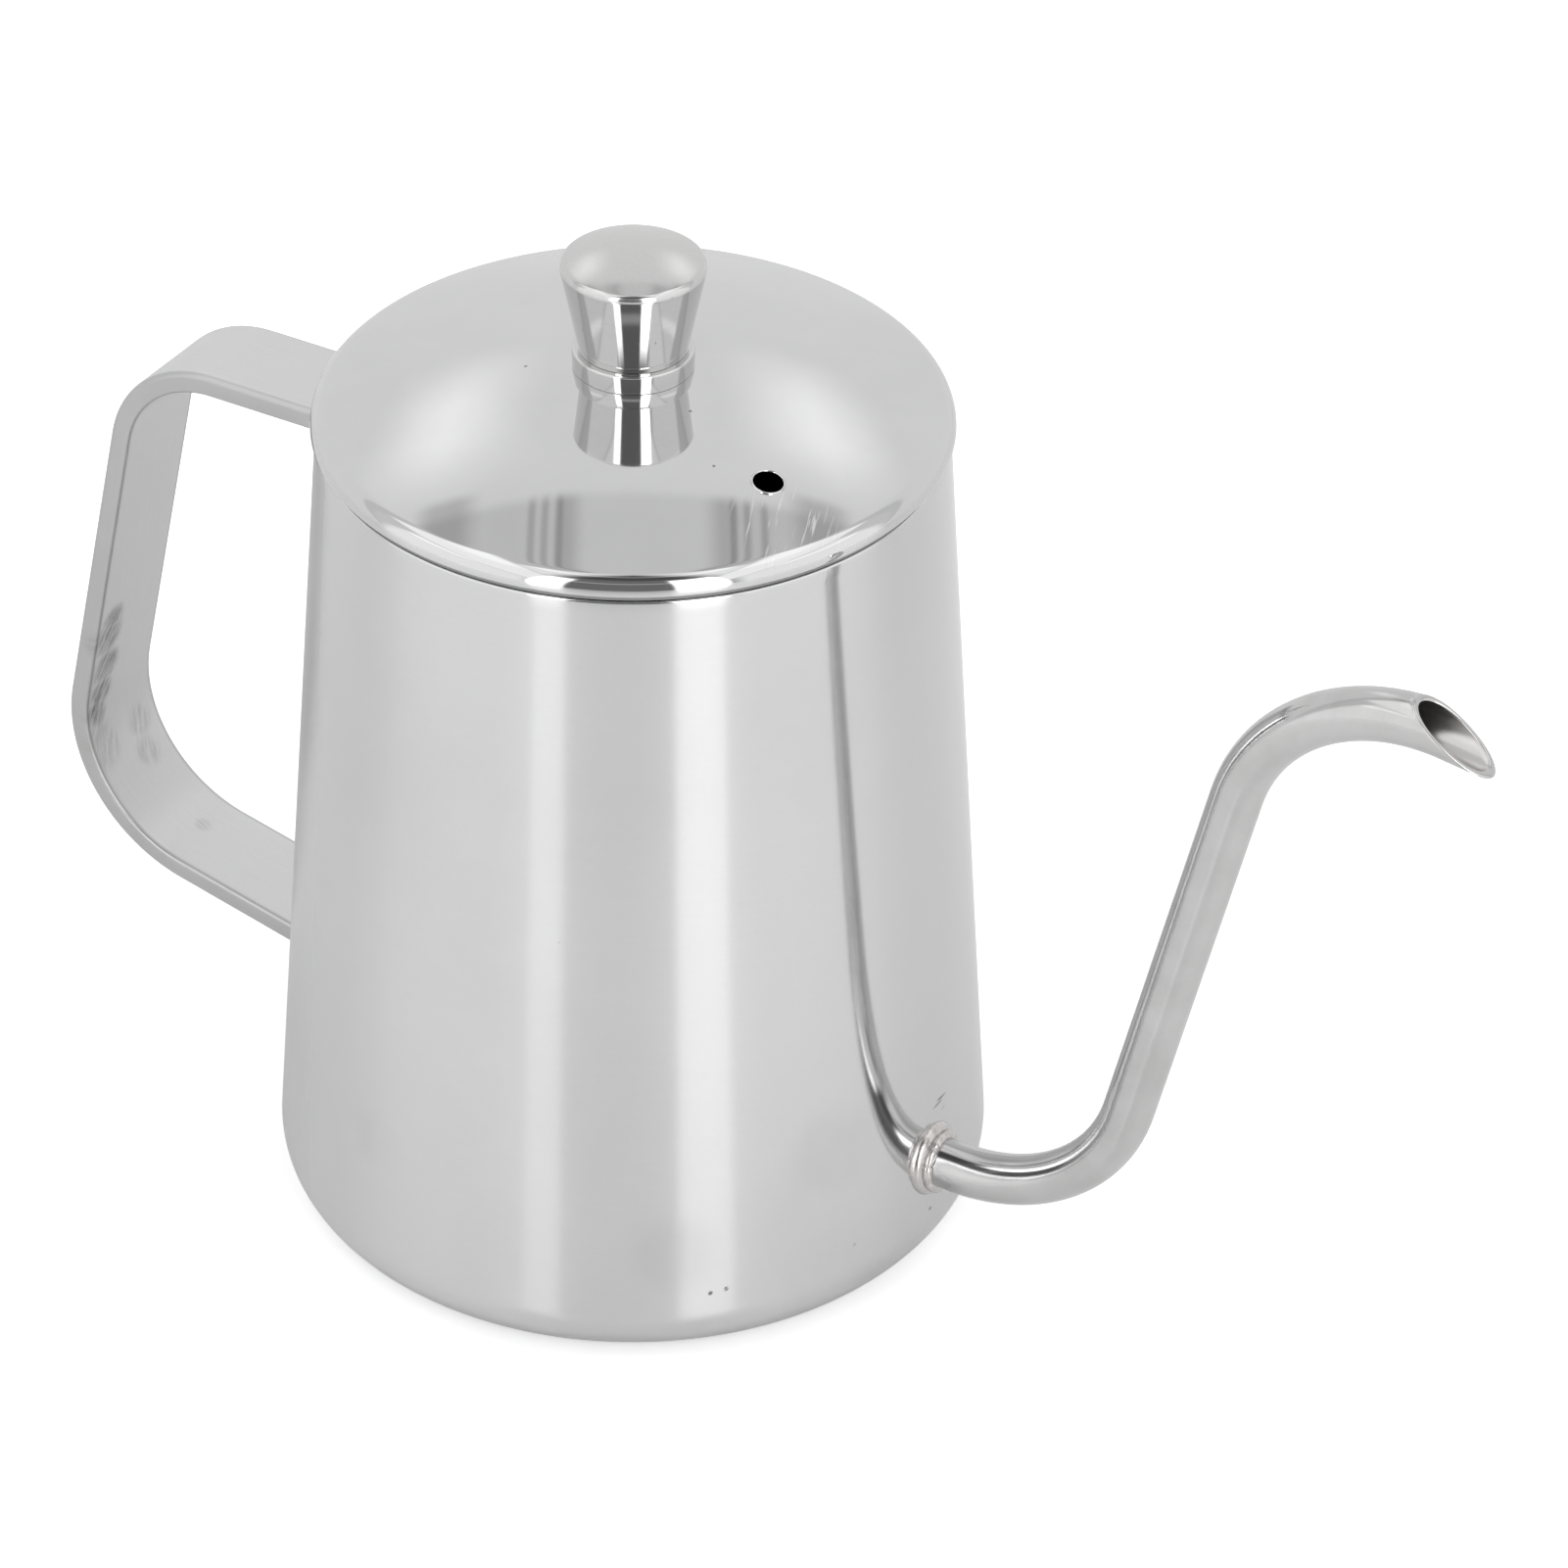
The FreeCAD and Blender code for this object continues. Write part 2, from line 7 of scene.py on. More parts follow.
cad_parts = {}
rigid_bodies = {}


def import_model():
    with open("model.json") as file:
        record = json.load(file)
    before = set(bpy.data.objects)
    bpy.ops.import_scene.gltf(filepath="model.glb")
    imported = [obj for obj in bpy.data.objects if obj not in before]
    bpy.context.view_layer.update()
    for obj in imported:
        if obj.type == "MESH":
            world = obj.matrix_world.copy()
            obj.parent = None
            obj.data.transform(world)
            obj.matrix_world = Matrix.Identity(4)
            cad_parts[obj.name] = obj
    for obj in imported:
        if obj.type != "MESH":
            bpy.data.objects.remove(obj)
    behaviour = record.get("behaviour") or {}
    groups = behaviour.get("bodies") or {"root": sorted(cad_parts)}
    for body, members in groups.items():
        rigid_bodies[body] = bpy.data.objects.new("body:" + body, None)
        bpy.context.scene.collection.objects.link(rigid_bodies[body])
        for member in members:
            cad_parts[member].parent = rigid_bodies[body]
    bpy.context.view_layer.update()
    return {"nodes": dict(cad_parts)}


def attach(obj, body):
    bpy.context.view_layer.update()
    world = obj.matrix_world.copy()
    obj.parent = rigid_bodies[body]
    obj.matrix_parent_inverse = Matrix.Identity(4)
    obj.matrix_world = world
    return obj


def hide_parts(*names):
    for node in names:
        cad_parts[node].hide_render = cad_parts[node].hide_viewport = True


for leftover in list(bpy.data.objects):
    bpy.data.objects.remove(leftover)

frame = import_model()

mm = 0.001  # pieces are sized in mm, the scene is in metres


# a socket that can be used in sums
class Wire:
    def __init__(self, graph, socket):
        self.graph = graph
        self.socket = socket

    def out(self, name):
        return Wire(self.graph, self.socket.node.outputs[name])

    def __add__(self, other):
        return self.graph.maths("ADD", self, other)

    def __radd__(self, other):
        return self.graph.maths("ADD", other, self)

    def __sub__(self, other):
        return self.graph.maths("SUBTRACT", self, other)

    def __rsub__(self, other):
        return self.graph.maths("SUBTRACT", other, self)

    def __mul__(self, other):
        return self.graph.maths("MULTIPLY", self, other)

    def __rmul__(self, other):
        return self.graph.maths("MULTIPLY", other, self)

    def __truediv__(self, other):
        return self.graph.maths("DIVIDE", self, other)

    def __pow__(self, other):
        return self.graph.maths("POWER", self, other)

    def __abs__(self):
        return self.graph.maths("ABSOLUTE", self)

    def ramp(self, low, high):
        return self.graph.add("ShaderNodeMapRange", {"interpolation_type": "SMOOTHSTEP"},
                              {"Value": self, "From Min": low, "From Max": high})

    def band(self, low, high, soft):
        return self.ramp(low - soft, low + soft) * (1 - self.ramp(high - soft, high + soft))

    def line(self, centre, half):
        return 1 - abs(self - centre).ramp(half * 0.4, half)


# one way to add a node, and short forms of the common ones
class Graph:
    def __init__(self, tree):
        self.tree = tree

    def add(self, kind, settings=None, values=None, out=0):
        node = self.tree.nodes.new(kind)
        for key, value in (settings or {}).items():
            setattr(node, key, value)
        for key, value in (values or {}).items():
            if isinstance(value, Wire):
                self.tree.links.new(value.socket, node.inputs[key])
            else:
                node.inputs[key].default_value = value
        return Wire(self, node.outputs[out] if len(node.outputs) else None)

    def maths(self, operation, *values):
        return self.add("ShaderNodeMath", {"operation": operation}, dict(enumerate(values)))

    def larger(self, first, second):
        return self.maths("MAXIMUM", first, second)

    def coordinates(self, kind):
        return self.add("ShaderNodeTexCoord", None, None, kind)

    def attribute(self, name):
        return self.add("ShaderNodeAttribute", {"attribute_name": name}, None, "Fac")

    def split(self, vector):
        parts = self.add("ShaderNodeSeparateXYZ", None, {0: vector})
        return [parts.out(axis) for axis in "XYZ"]

    def combine(self, x, y, z=0.0):
        return self.add("ShaderNodeCombineXYZ", None, {0: x, 1: y, 2: z})

    def scaled(self, vector, scale):
        return self.add("ShaderNodeMapping", None, {"Vector": vector, "Scale": scale})

    def noise(self, vector, scale, detail, rough):  # three scales draw the noise out
        if isinstance(scale, tuple):
            vector, scale = self.scaled(vector, scale), 1.0
        return self.add("ShaderNodeTexNoise", None,
                        {"Vector": vector, "Scale": scale, "Detail": detail, "Roughness": rough})

    def mix(self, factor, first, second):
        first, second = [colour if isinstance(colour, Wire) else (*colour, 1.0) for colour in (first, second)]
        return self.add("ShaderNodeMix", {"data_type": "RGBA"}, {0: factor, 6: first, 7: second}, 2)

    def tint(self, base, mask, tone):  # a tone is a colour and how much of it shows
        *colour, amount = tone
        return self.mix(mask * amount, base, colour)

    def bump(self, height, strength, depth):
        return self.add("ShaderNodeBump", None, {"Strength": strength, "Distance": depth, "Height": height})

    def spots(self, vector, marks):  # a mark is a point and its radius, soft at the rim
        total = None
        for x, y, z, radius in marks:
            away = self.add("ShaderNodeVectorMath", {"operation": "DISTANCE"},
                            {0: vector, 1: (x, y, z)}, "Value")
            mark = 1 - away.ramp(radius * 0.35, radius)
            total = mark if total is None else self.larger(total, mark)
        return total


def emptyGraph(owner):
    owner.use_nodes = True
    owner.node_tree.nodes.clear()
    return Graph(owner.node_tree)


def newObject(name, data):
    item = bpy.data.objects.new(name, data)
    bpy.context.scene.collection.objects.link(item)
    return item


# geometry node trees, and what bakes them into meshes
def newTree(name, inputs):
    tree = bpy.data.node_groups.new(name, "GeometryNodeTree")
    tree.interface.new_socket("Geometry", in_out="INPUT", socket_type="NodeSocketGeometry")
    for label, kind in inputs.items():
        tree.interface.new_socket(label, in_out="INPUT", socket_type="NodeSocket" + kind)
    tree.interface.new_socket("Geometry", in_out="OUTPUT", socket_type="NodeSocketGeometry")
    graph = Graph(tree)
    start = tree.nodes.new("NodeGroupInput")
    wires = {socket.name: Wire(graph, socket) for socket in start.outputs if socket.name}
    return graph, wires


def endTree(graph, geometry, material):
    real = graph.add("GeometryNodeRealizeInstances", None, {"Geometry": geometry})
    dressed = graph.add("GeometryNodeSetMaterial", None, {"Geometry": real, "Material": material})
    graph.add("NodeGroupOutput", None, {"Geometry": dressed})
    return graph.tree


def lineObject(name, points, closed):
    mesh = bpy.data.meshes.new(name)
    edges = [(k, k + 1) for k in range(len(points) - 1)]
    if closed:
        edges.append((len(points) - 1, 0))
    mesh.from_pydata(points, edges, [])
    return newObject(name, mesh)


def bake(guide, tree, values):
    modifier = guide.modifiers.new(tree.name, "NODES")
    modifier.node_group = tree
    for item in tree.interface.items_tree:
        if item.in_out == "INPUT" and item.name in values:
            modifier[item.identifier] = values[item.name]
    graph = bpy.context.evaluated_depsgraph_get()
    mesh = bpy.data.meshes.new_from_object(guide.evaluated_get(graph))
    guide.modifiers.clear()
    bpy.data.objects.remove(guide)
    return mesh


def tidy(mesh, angle=32.0, merge=2e-7):
    work = bmesh.new()
    work.from_mesh(mesh)
    bmesh.ops.remove_doubles(work, verts=work.verts, dist=merge)
    bmesh.ops.dissolve_degenerate(work, edges=work.edges, dist=1e-8)
    bmesh.ops.recalc_face_normals(work, faces=work.faces)
    for face in work.faces:
        face.smooth = True
    work.to_mesh(mesh)
    work.free()
    mesh.set_sharp_from_angle(angle=math.radians(angle))
    return mesh


def place(name, mesh, body, node, material):
    mesh.materials.clear()
    mesh.materials.append(material)
    piece = newObject(name, mesh)
    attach(piece, body)
    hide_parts(node)


def drill(mesh, start, end, radius):
    work = bmesh.new()
    run = end - start
    turn = run.to_track_quat("Z", "Y").to_matrix().to_4x4()
    bmesh.ops.create_cone(work, cap_ends=True, segments=96, radius1=radius, radius2=radius, depth=run.length,
                          matrix=Matrix.Translation((start + end) / 2) @ turn)
    cutter = newObject("cutter", bpy.data.meshes.new("cutter"))
    work.to_mesh(cutter.data)
    work.free()
    blank = newObject("blank", mesh)
    modifier = blank.modifiers.new("cut", "BOOLEAN")
    modifier.operation = "DIFFERENCE"
    modifier.solver = "EXACT"
    modifier.object = cutter
    graph = bpy.context.evaluated_depsgraph_get()
    done = bpy.data.meshes.new_from_object(blank.evaluated_get(graph))
    blank.modifiers.clear()
    for item in (cutter, blank):
        bpy.data.objects.remove(item)
    return done


def joinMeshes(name, meshes):
    work = bmesh.new()
    for mesh in meshes:
        work.from_mesh(mesh)
    joined = bpy.data.meshes.new(name)
    work.to_mesh(joined)
    work.free()
    return joined


# outlines in mm, angles in degrees
def arcAt(cx, cz, radius, turns):
    return [(cx + radius * math.cos(math.radians(turn)), cz + radius * math.sin(math.radians(turn)))
            for turn in turns]


def arc(cx, cz, radius, start, stop, steps):
    return arcAt(cx, cz, radius, [start + (stop - start) * k / steps for k in range(steps + 1)])


def stretch(first, last, longest):
    count = max(1, math.ceil(math.dist(first, last) / longest))
    return [(first[0] + (last[0] - first[0]) * k / count, first[1] + (last[1] - first[1]) * k / count)
            for k in range(count + 1)]


def outline(*parts):
    points = []
    for part in parts:
        for point in part:
            if not points or math.dist(points[-1], point) > 1e-6:
                points.append(point)
    if math.dist(points[0], points[-1]) < 1e-6:
        points.pop()
    return points


# materials, all in object coordinates, lengths in metres; a noise is its scale, detail and roughness
def newMaterial(name, anisotropy=0.0, grainTurn=0.0):
    material = bpy.data.materials.new(name)
    graph = emptyGraph(material)
    steel = graph.add("ShaderNodeBsdfPrincipled", None, {
        "Metallic": 1.0, "Anisotropic": anisotropy, "Anisotropic Rotation": grainTurn})
    graph.add("ShaderNodeOutputMaterial", None, {"Surface": steel})
    return material, graph, steel.socket.node


def feed(graph, shader, wires):
    for name, wire in wires.items():
        graph.tree.links.new(wire.socket, shader.inputs[name])


def weighted(amounts, **wires):
    total = amounts["base"]
    for name, wire in wires.items():
        total = total + wire * amounts[name]
    return total


potFinish = dict(
    dull=(0.657, 0.657, 0.66), bright=(0.674, 0.674, 0.677), cloudy=(0.613, 0.613, 0.62, 0.5),
    gritty=(0.73, 0.73, 0.73, 0.1), stained=(0.57, 0.57, 0.576, 0.5), marked=(0.10, 0.10, 0.10, 0.85),
    rough=dict(base=0.085, cloud=0.03, lines=0.015, stain=0.06, worn=0.24),
    lines=((90, 90, 16000), 2.0, 0.6), cloud=((30, 30, 24), 4.0, 0.6), grit=(1400.0, 2.0, 0.6),
    torn=(1.0, 3.0, 0.7), tornAlong=380, tornAcross=1500, tornDeep=300,
    anisotropy=0.6, grainTurn=0.25, worn=(0.014, 0.034),
    drawn=0.15,  # strokes are this much thinner than long
    strokes=[(0.04685, 0.00181, 0.02505, 0.00027), (0.04676, 0.00302, 0.02546, 0.00025),
             (0.04679, 0.00230, 0.02565, 0.00016), (0.04690, 0.00330, 0.0236, 0.00012)],
    scuffs=[(0.04788, -0.00125, 0.0098, 0.0005), (0.03365, -0.03394, 0.0114, 0.0005),
            (0.03508, -0.03242, 0.0118, 0.0006), (0.01529, -0.04146, 0.0658, 0.0003),
            (0.04493, -0.01609, 0.0125, 0.0005)],
    stains=[(-0.01114, -0.04551, 0.0256, 0.006), (0.04277, -0.0186, 0.0288, 0.009),
            (0.0300, -0.0370, 0.0180, 0.008)])


def potSteel():
    look = potFinish
    material, graph, steel = newMaterial("potSteel", look["anisotropy"], look["grainTurn"])
    where = graph.coordinates("Object")
    x, y, z = graph.split(where)
    lines = graph.noise(where, *look["lines"])  # polishing lines round the pot
    cloud = graph.noise(where, *look["cloud"])
    grit = graph.noise(where, *look["grit"])
    tear = graph.combine((y + z) * look["tornAlong"], (z - y) * look["tornAcross"], x * look["tornDeep"])
    torn = graph.noise(tear, *look["torn"])
    drawn = look["drawn"]
    squeezed = [(px, py * drawn, pz, size) for px, py, pz, size in look["strokes"]]
    strokes = graph.spots(graph.scaled(where, (1, drawn, 1)), squeezed)
    mark = graph.spots(where, look["scuffs"]) * torn.ramp(0.47, 0.56)
    mark = graph.larger(mark, strokes * (0.6 + torn.ramp(0.4, 0.6) * 0.4))
    stain = graph.spots(where, look["stains"]) * cloud.ramp(0.3, 0.65)
    worn = (0 - x).ramp(*look["worn"])  # handled side, next to the strap
    base = graph.mix(lines.ramp(0.3, 0.7), look["dull"], look["bright"])
    base = graph.tint(base, cloud.ramp(0.4, 0.75), look["cloudy"])
    base = graph.tint(base, grit.ramp(0.3, 0.7), look["gritty"])
    base = graph.tint(base, stain, look["stained"])
    feed(graph, steel, {
        "Base Color": graph.tint(base, mark, look["marked"]),
        "Roughness": weighted(look["rough"], cloud=cloud, lines=lines, stain=stain, worn=worn)})
    return material


lidFinish = dict(
    bright=(0.665, 0.665, 0.667), dull=(0.635, 0.635, 0.637), scratched=(0.88, 0.88, 0.88, 0.7),
    specked=(0.15, 0.15, 0.15, 0.8), shaded=(0.06, 0.06, 0.06, 0.6),
    rough=dict(base=0.035, cloud=0.025, scratch=0.2, groove=0.3),
    cloud=(55.0, 4.0, 0.6), swell=((60, 60, 10), 1.0, 0.4), bump=(0.2, 0.0001),
    hair=(1.0, 2.0, 0.6), hairWay=(0.84, 0.54), hairAcross=2300, hairSlant=500, hairAlong=120,
    scratches=[(0.0322, -0.0157, 0.1211, 0.0085)],
    specks=[(0.02006, -0.01272, 0.12395, 0.0003), (-0.01157, -0.00741, 0.12541, 0.0003),
            (0.01197, -0.00536, 0.12547, 0.0003)],
    groove=(0.11625, 0.11722, 0.00003), grooveRadius=(0.0406, 0.0407))


def lidSteel():
    look = lidFinish
    material, graph, steel = newMaterial("lidSteel")
    where = graph.coordinates("Object")
    x, y, z = graph.split(where)
    cloud = graph.noise(where, *look["cloud"])
    swell = graph.noise(where, *look["swell"])
    wide, narrow = look["hairWay"]
    across = x * wide + y * narrow
    down = x * narrow - y * wide
    hairs = graph.combine(across * look["hairAcross"] + down * look["hairSlant"], down * look["hairAlong"])
    scratch = graph.noise(hairs, *look["hair"]).ramp(0.58, 0.66) * graph.spots(where, look["scratches"])
    speck = graph.spots(where, look["specks"])
    radius = (x * x + y * y) ** 0.5
    groove = z.band(*look["groove"]) * radius.ramp(*look["grooveRadius"])  # painted shade: the hem in the gap under the lid's edge is darkened in the base colour
    base = graph.mix(cloud.ramp(0.3, 0.75), look["bright"], look["dull"])
    base = graph.tint(base, scratch, look["scratched"])
    base = graph.tint(base, speck, look["specked"])
    # the base colour carries painted shade in the gap under the lid's edge
    feed(graph, steel, {
        "Base Color": graph.tint(base, groove, look["shaded"]),
        "Roughness": weighted(look["rough"], cloud=cloud, scratch=scratch, groove=groove),
        "Normal": graph.bump(swell, *look["bump"])})
    return material


tubeFinish = dict(
    bright=(0.588, 0.584, 0.584), dull=(0.525, 0.52, 0.518), grainy=(0.64, 0.637, 0.635, 0.2),
    inside=(0.62, 0.605, 0.60, 1.0), rough=dict(base=0.04, cloud=0.04, grain=0.02, bore=0.22),
    cloud=(120.0, 4.0, 0.6), grain=(1.0, 3.0, 0.6), grainAlong=60, grainAround=900, bump=(0.06, 0.00003))


def tubeSteel():
    look = tubeFinish
    material, graph, steel = newMaterial("tubeSteel")
    cloud = graph.noise(graph.coordinates("Object"), *look["cloud"])
    along = graph.attribute("along")
    around = graph.attribute("around")
    bore = graph.attribute("bore")
    drawing = graph.combine(along * look["grainAlong"], around * look["grainAround"])
    grain = graph.noise(drawing, *look["grain"])
    base = graph.mix(cloud.ramp(0.3, 0.75), look["bright"], look["dull"])
    base = graph.tint(base, grain.ramp(0.35, 0.7), look["grainy"])
    feed(graph, steel, {
        "Base Color": graph.tint(base, bore, look["inside"]),
        "Roughness": weighted(look["rough"], cloud=cloud, grain=grain, bore=bore),
        "Normal": graph.bump(grain, *look["bump"])})
    return material


strapFinish = dict(
    dull=(0.66, 0.66, 0.662), bright=(0.69, 0.69, 0.693), gritty=(0.72, 0.72, 0.72, 0.2),
    edgeShade=(0.47, 0.47, 0.47, 1.0), smeared=(0.36, 0.345, 0.34, 0.5), scuffed=(0.17, 0.165, 0.165, 0.85),
    rough=dict(base=0.31, cloud=0.08, grain=0.04),
    cloud=(60.0, 4.0, 0.6), grit=(1800.0, 2.0, 0.6), grain=(1.0, 4.0, 0.65), grainAlong=90, grainAcross=4200,
    rubbed=(1.0, 5.0, 0.75), rubbedAlong=220, rubbedAcross=1300, rubbedLean=0.5,
    bump=(0.05, 0.00003), edge=(0.00665, 0.00705),
    scuffs=[(-0.08207, -0.0040, 0.0598, 0.0030), (-0.08266, -0.0045, 0.0569, 0.0040),
            (-0.08379, -0.0040, 0.0513, 0.0038), (-0.08464, -0.0043, 0.0469, 0.0032),
            (-0.08485, -0.0052, 0.0440, 0.0028)],
    smears=[(-0.08389, 0.0032, 0.0381, 0.0032), (-0.08207, 0.0025, 0.0342, 0.0030),
            (-0.08304, -0.0050, 0.0390, 0.0050), (-0.07189, 0.0010, 0.0261, 0.0016)])


def strapSteel():
    look = strapFinish
    material, graph, steel = newMaterial("strapSteel")
    where = graph.coordinates("Object")
    side, height = graph.split(where)[1:]
    along = graph.attribute("along")
    grain = graph.noise(graph.combine(along * look["grainAlong"], side * look["grainAcross"]), *look["grain"])
    grit = graph.noise(where, *look["grit"])
    cloud = graph.noise(where, *look["cloud"])
    edge = abs(side).ramp(*look["edge"])  # both edges of the bar, darkened in the base colour as painted shade
    lean = look["rubbedLean"]
    strokes = graph.combine((side * lean + height) * look["rubbedAlong"],
                            (height * lean - side) * look["rubbedAcross"])
    rubbed = graph.noise(strokes, *look["rubbed"])
    scuff = graph.spots(where, look["scuffs"]) * (0.35 + rubbed.ramp(0.42, 0.6) * 0.65)
    smear = graph.spots(where, look["smears"]) * rubbed.ramp(0.35, 0.65)
    base = graph.mix(grain.ramp(0.3, 0.75), look["dull"], look["bright"])
    base = graph.tint(base, grit.ramp(0.35, 0.7), look["gritty"])
    # painted shade: both narrow edges of the bar are darkened in the base colour
    base = graph.tint(base, edge * (0.55 + cloud * 0.4), look["edgeShade"])
    base = graph.tint(base, smear, look["smeared"])
    feed(graph, steel, {
        "Base Color": graph.tint(base, scuff, look["scuffed"]),
        "Roughness": weighted(look["rough"], cloud=cloud, grain=grain),
        "Normal": graph.bump(grain, *look["bump"])})
    return material


weldFinish = dict(bright=(0.65, 0.63, 0.62), dull=(0.54, 0.515, 0.50), rough=dict(base=0.13, cloud=0.16),
                  cloud=(500.0, 3.0, 0.6), bump=(0.25, 0.0002))


def weldSteel():
    look = weldFinish
    material, graph, steel = newMaterial("weldSteel")
    cloud = graph.noise(graph.coordinates("Object"), *look["cloud"])
    feed(graph, steel, {
        "Base Color": graph.mix(cloud.ramp(0.3, 0.7), look["bright"], look["dull"]),
        "Roughness": weighted(look["rough"], cloud=cloud),
        "Normal": graph.bump(cloud, *look["bump"])})
    return material


knobFinish = dict(
    dull=(0.615, 0.612, 0.61), bright=(0.645, 0.642, 0.64), gritty=(0.68, 0.68, 0.68, 0.25),
    rough=dict(base=0.045, cloud=0.03, lines=0.02, crown=0.07), crown=(0.1395, 0.1405),
    lines=((30, 30, 9000), 3.0, 0.65), cloud=(140.0, 3.0, 0.6), grit=(2600.0, 2.0, 0.6))


def knobSteel():
    look = knobFinish
    material, graph, steel = newMaterial("knobSteel")
    where = graph.coordinates("Object")
    crown = graph.split(where)[2].ramp(*look["crown"])
    lines = graph.noise(where, *look["lines"])  # turning lines
    cloud = graph.noise(where, *look["cloud"])
    grit = graph.noise(where, *look["grit"])
    base = graph.mix(lines.ramp(0.3, 0.7) * (1 - crown), look["dull"], look["bright"])
    feed(graph, steel, {
        "Base Color": graph.tint(base, grit.ramp(0.35, 0.7), look["gritty"]),
        "Roughness": weighted(look["rough"], cloud=cloud, lines=lines, crown=crown)})
    return material


screwFinish = dict(bright=(0.58, 0.575, 0.56), dull=(0.44, 0.43, 0.41), rough=dict(base=0.22, cloud=0.2),
                   cloud=(700.0, 4.0, 0.6))


def screwSteel():
    look = screwFinish
    material, graph, steel = newMaterial("screwSteel")
    cloud = graph.noise(graph.coordinates("Object"), *look["cloud"])
    feed(graph, steel, {
        "Base Color": graph.mix(cloud.ramp(0.3, 0.7), look["bright"], look["dull"]),
        "Roughness": weighted(look["rough"], cloud=cloud)})
    return material


finish = dict(pot=potSteel(), lid=lidSteel(), tube=tubeSteel(), strap=strapSteel(), weld=weldSteel(),
              knob=knobSteel(), screw=screwSteel())
print("materials:", ", ".join(material.name for material in finish.values()))


# turned shapes: a profile carried round the pot's axis
lathe = dict(guide=10.0, merge=1e-7)


def latheTree():
    graph, wires = newTree("turnedShape", {"Segments": "Int", "Guide radius": "Float", "Finish": "Material"})
    profile = graph.add("GeometryNodeMeshToCurve", None, {"Mesh": wires["Geometry"]})
    ring = graph.add("GeometryNodeCurvePrimitiveCircle", None,
                     {"Resolution": wires["Segments"], "Radius": wires["Guide radius"]})
    skin = graph.add("GeometryNodeCurveToMesh", None, {"Curve": ring, "Profile Curve": profile})
    joined = graph.add("GeometryNodeMergeByDistance", None, {"Geometry": skin, "Distance": lathe["merge"]})
    return endTree(graph, joined, wires["Finish"])


turnedShape = latheTree()


def turned(name, points, segments, material, closed=True):
    local = [((r - lathe["guide"]) * mm, -z * mm, 0.0) for r, z in points]
    guide = lineObject(name + "Guide", local, closed)
    mesh = bake(guide, turnedShape, {"Segments": segments, "Guide radius": lathe["guide"] * mm,
                                     "Finish": material})
    mesh.name = name
    return tidy(mesh)


# pot: cone wall with a rounded rim, and a pressed base pan
pot = dict(baseRadius=48.0, corner=8.0, lean=3.79, rimHeight=116.2, wall=0.8, segments=320, row=1.6,
           rimSteps=10, cornerSteps=40, floorRow=4.0, drillFrom=30.0, drillTo=60.0, drillGap=0.02)
potCornerX = pot["baseRadius"] - pot["corner"]
leanSin = math.sin(math.radians(pot["lean"]))
leanCos = math.cos(math.radians(pot["lean"]))

# spout: bent tube with a slanted, rounded mouth; spare is path past the tip, for finding the cut
spout = dict(radius=3.42, wall=0.6, height=17.4, rootRun=3.5, bend=26.3, rise=76.6, run=55.9, dip=6.5,
             lipRun=6.6, lipCut=34.0, lipBulge=0.22, inside=1.0, spare=4.0, sides=72, step=1.4,
             lipReach=14.0, lipSearch=25.0, lipRows=24, lipSteps=8)


def wallRadius(z, depth=0.0):
    return potCornerX + (pot["corner"] - depth - (z - pot["corner"]) * leanSin) / leanCos


def makePot():
    corner, wall, lean = pot["corner"], pot["wall"], pot["lean"]
    rimZ = pot["rimHeight"] - wall / 2
    rim = arc(wallRadius(rimZ, wall / 2), rimZ, wall / 2, lean, lean + 180, pot["rimSteps"])
    seamOut, seamIn = [(potCornerX + (corner - depth) * leanCos, corner + (corner - depth) * leanSin)
                       for depth in (0, wall)]
    wallProfile = outline(stretch(seamOut, rim[0], pot["row"]), rim, stretch(rim[-1], seamIn, pot["row"]))
    mesh = turned("potWallPiece", wallProfile, pot["segments"], finish["pot"])
    start, end = [Vector((reach, 0, spout["height"])) * mm for reach in (pot["drillFrom"], pot["drillTo"])]
    mesh = tidy(drill(mesh, start, end, (spout["radius"] + pot["drillGap"]) * mm))
    place("potWallPiece", mesh, "kettle", "pot_wall", finish["pot"])
    steps = pot["cornerSteps"]
    turns = [-90 + (90 + lean) * (1 - (1 - k / steps) ** 2) for k in range(steps + 1)]  # finer near the seam
    panProfile = outline(stretch((0, 0), (potCornerX, 0), pot["floorRow"]),
                         arcAt(potCornerX, corner, corner, turns),
                         arcAt(potCornerX, corner, corner - wall, reversed(turns)),
                         stretch((potCornerX, wall), (0, wall), pot["floorRow"]))
    pan = turned("potBasePiece", panProfile, pot["segments"], finish["pot"], closed=False)
    place("potBasePiece", pan, "kettle", "pot_base", finish["pot"])
    print("pot: wall", len(mesh.polygons), "faces, base", len(pan.polygons), "faces")


makePot()


def spoutPath():
    start = wallRadius(spout["height"], pot["wall"]) - spout["inside"]
    bendX = wallRadius(spout["height"]) + spout["rootRun"]
    up, fall = spout["rise"], spout["rise"] + spout["dip"]
    pieces = [(bendX - start, 0.0), (spout["bend"] * math.radians(up), up), (spout["run"], 0.0),
              (spout["bend"] * math.radians(fall), -fall), (spout["lipRun"] + spout["spare"], 0.0)]
    return start, pieces  # each piece is its length and its turn


def spoutAt(distance):
    x, pieces = spoutPath()
    z = spout["height"]
    angle = 0.0
    for length, turn in pieces:
        travel = min(distance, length)
        if turn == 0.0:
            x += travel * math.cos(angle)
            z += travel * math.sin(angle)
        else:
            swing = math.copysign(spout["bend"], turn)
            x -= swing * math.sin(angle)
            z += swing * math.cos(angle)
            angle += travel / swing
            x += swing * math.sin(angle)
            z -= swing * math.cos(angle)
        distance -= travel
        if distance <= 1e-9:
            break
    return x, z, angle


def spoutPoint(distance, turn, radius):
    x, z, angle = spoutAt(distance)
    up = radius * math.cos(turn)
    return Vector((x - up * math.sin(angle), radius * math.sin(turn), z + up * math.cos(angle)))


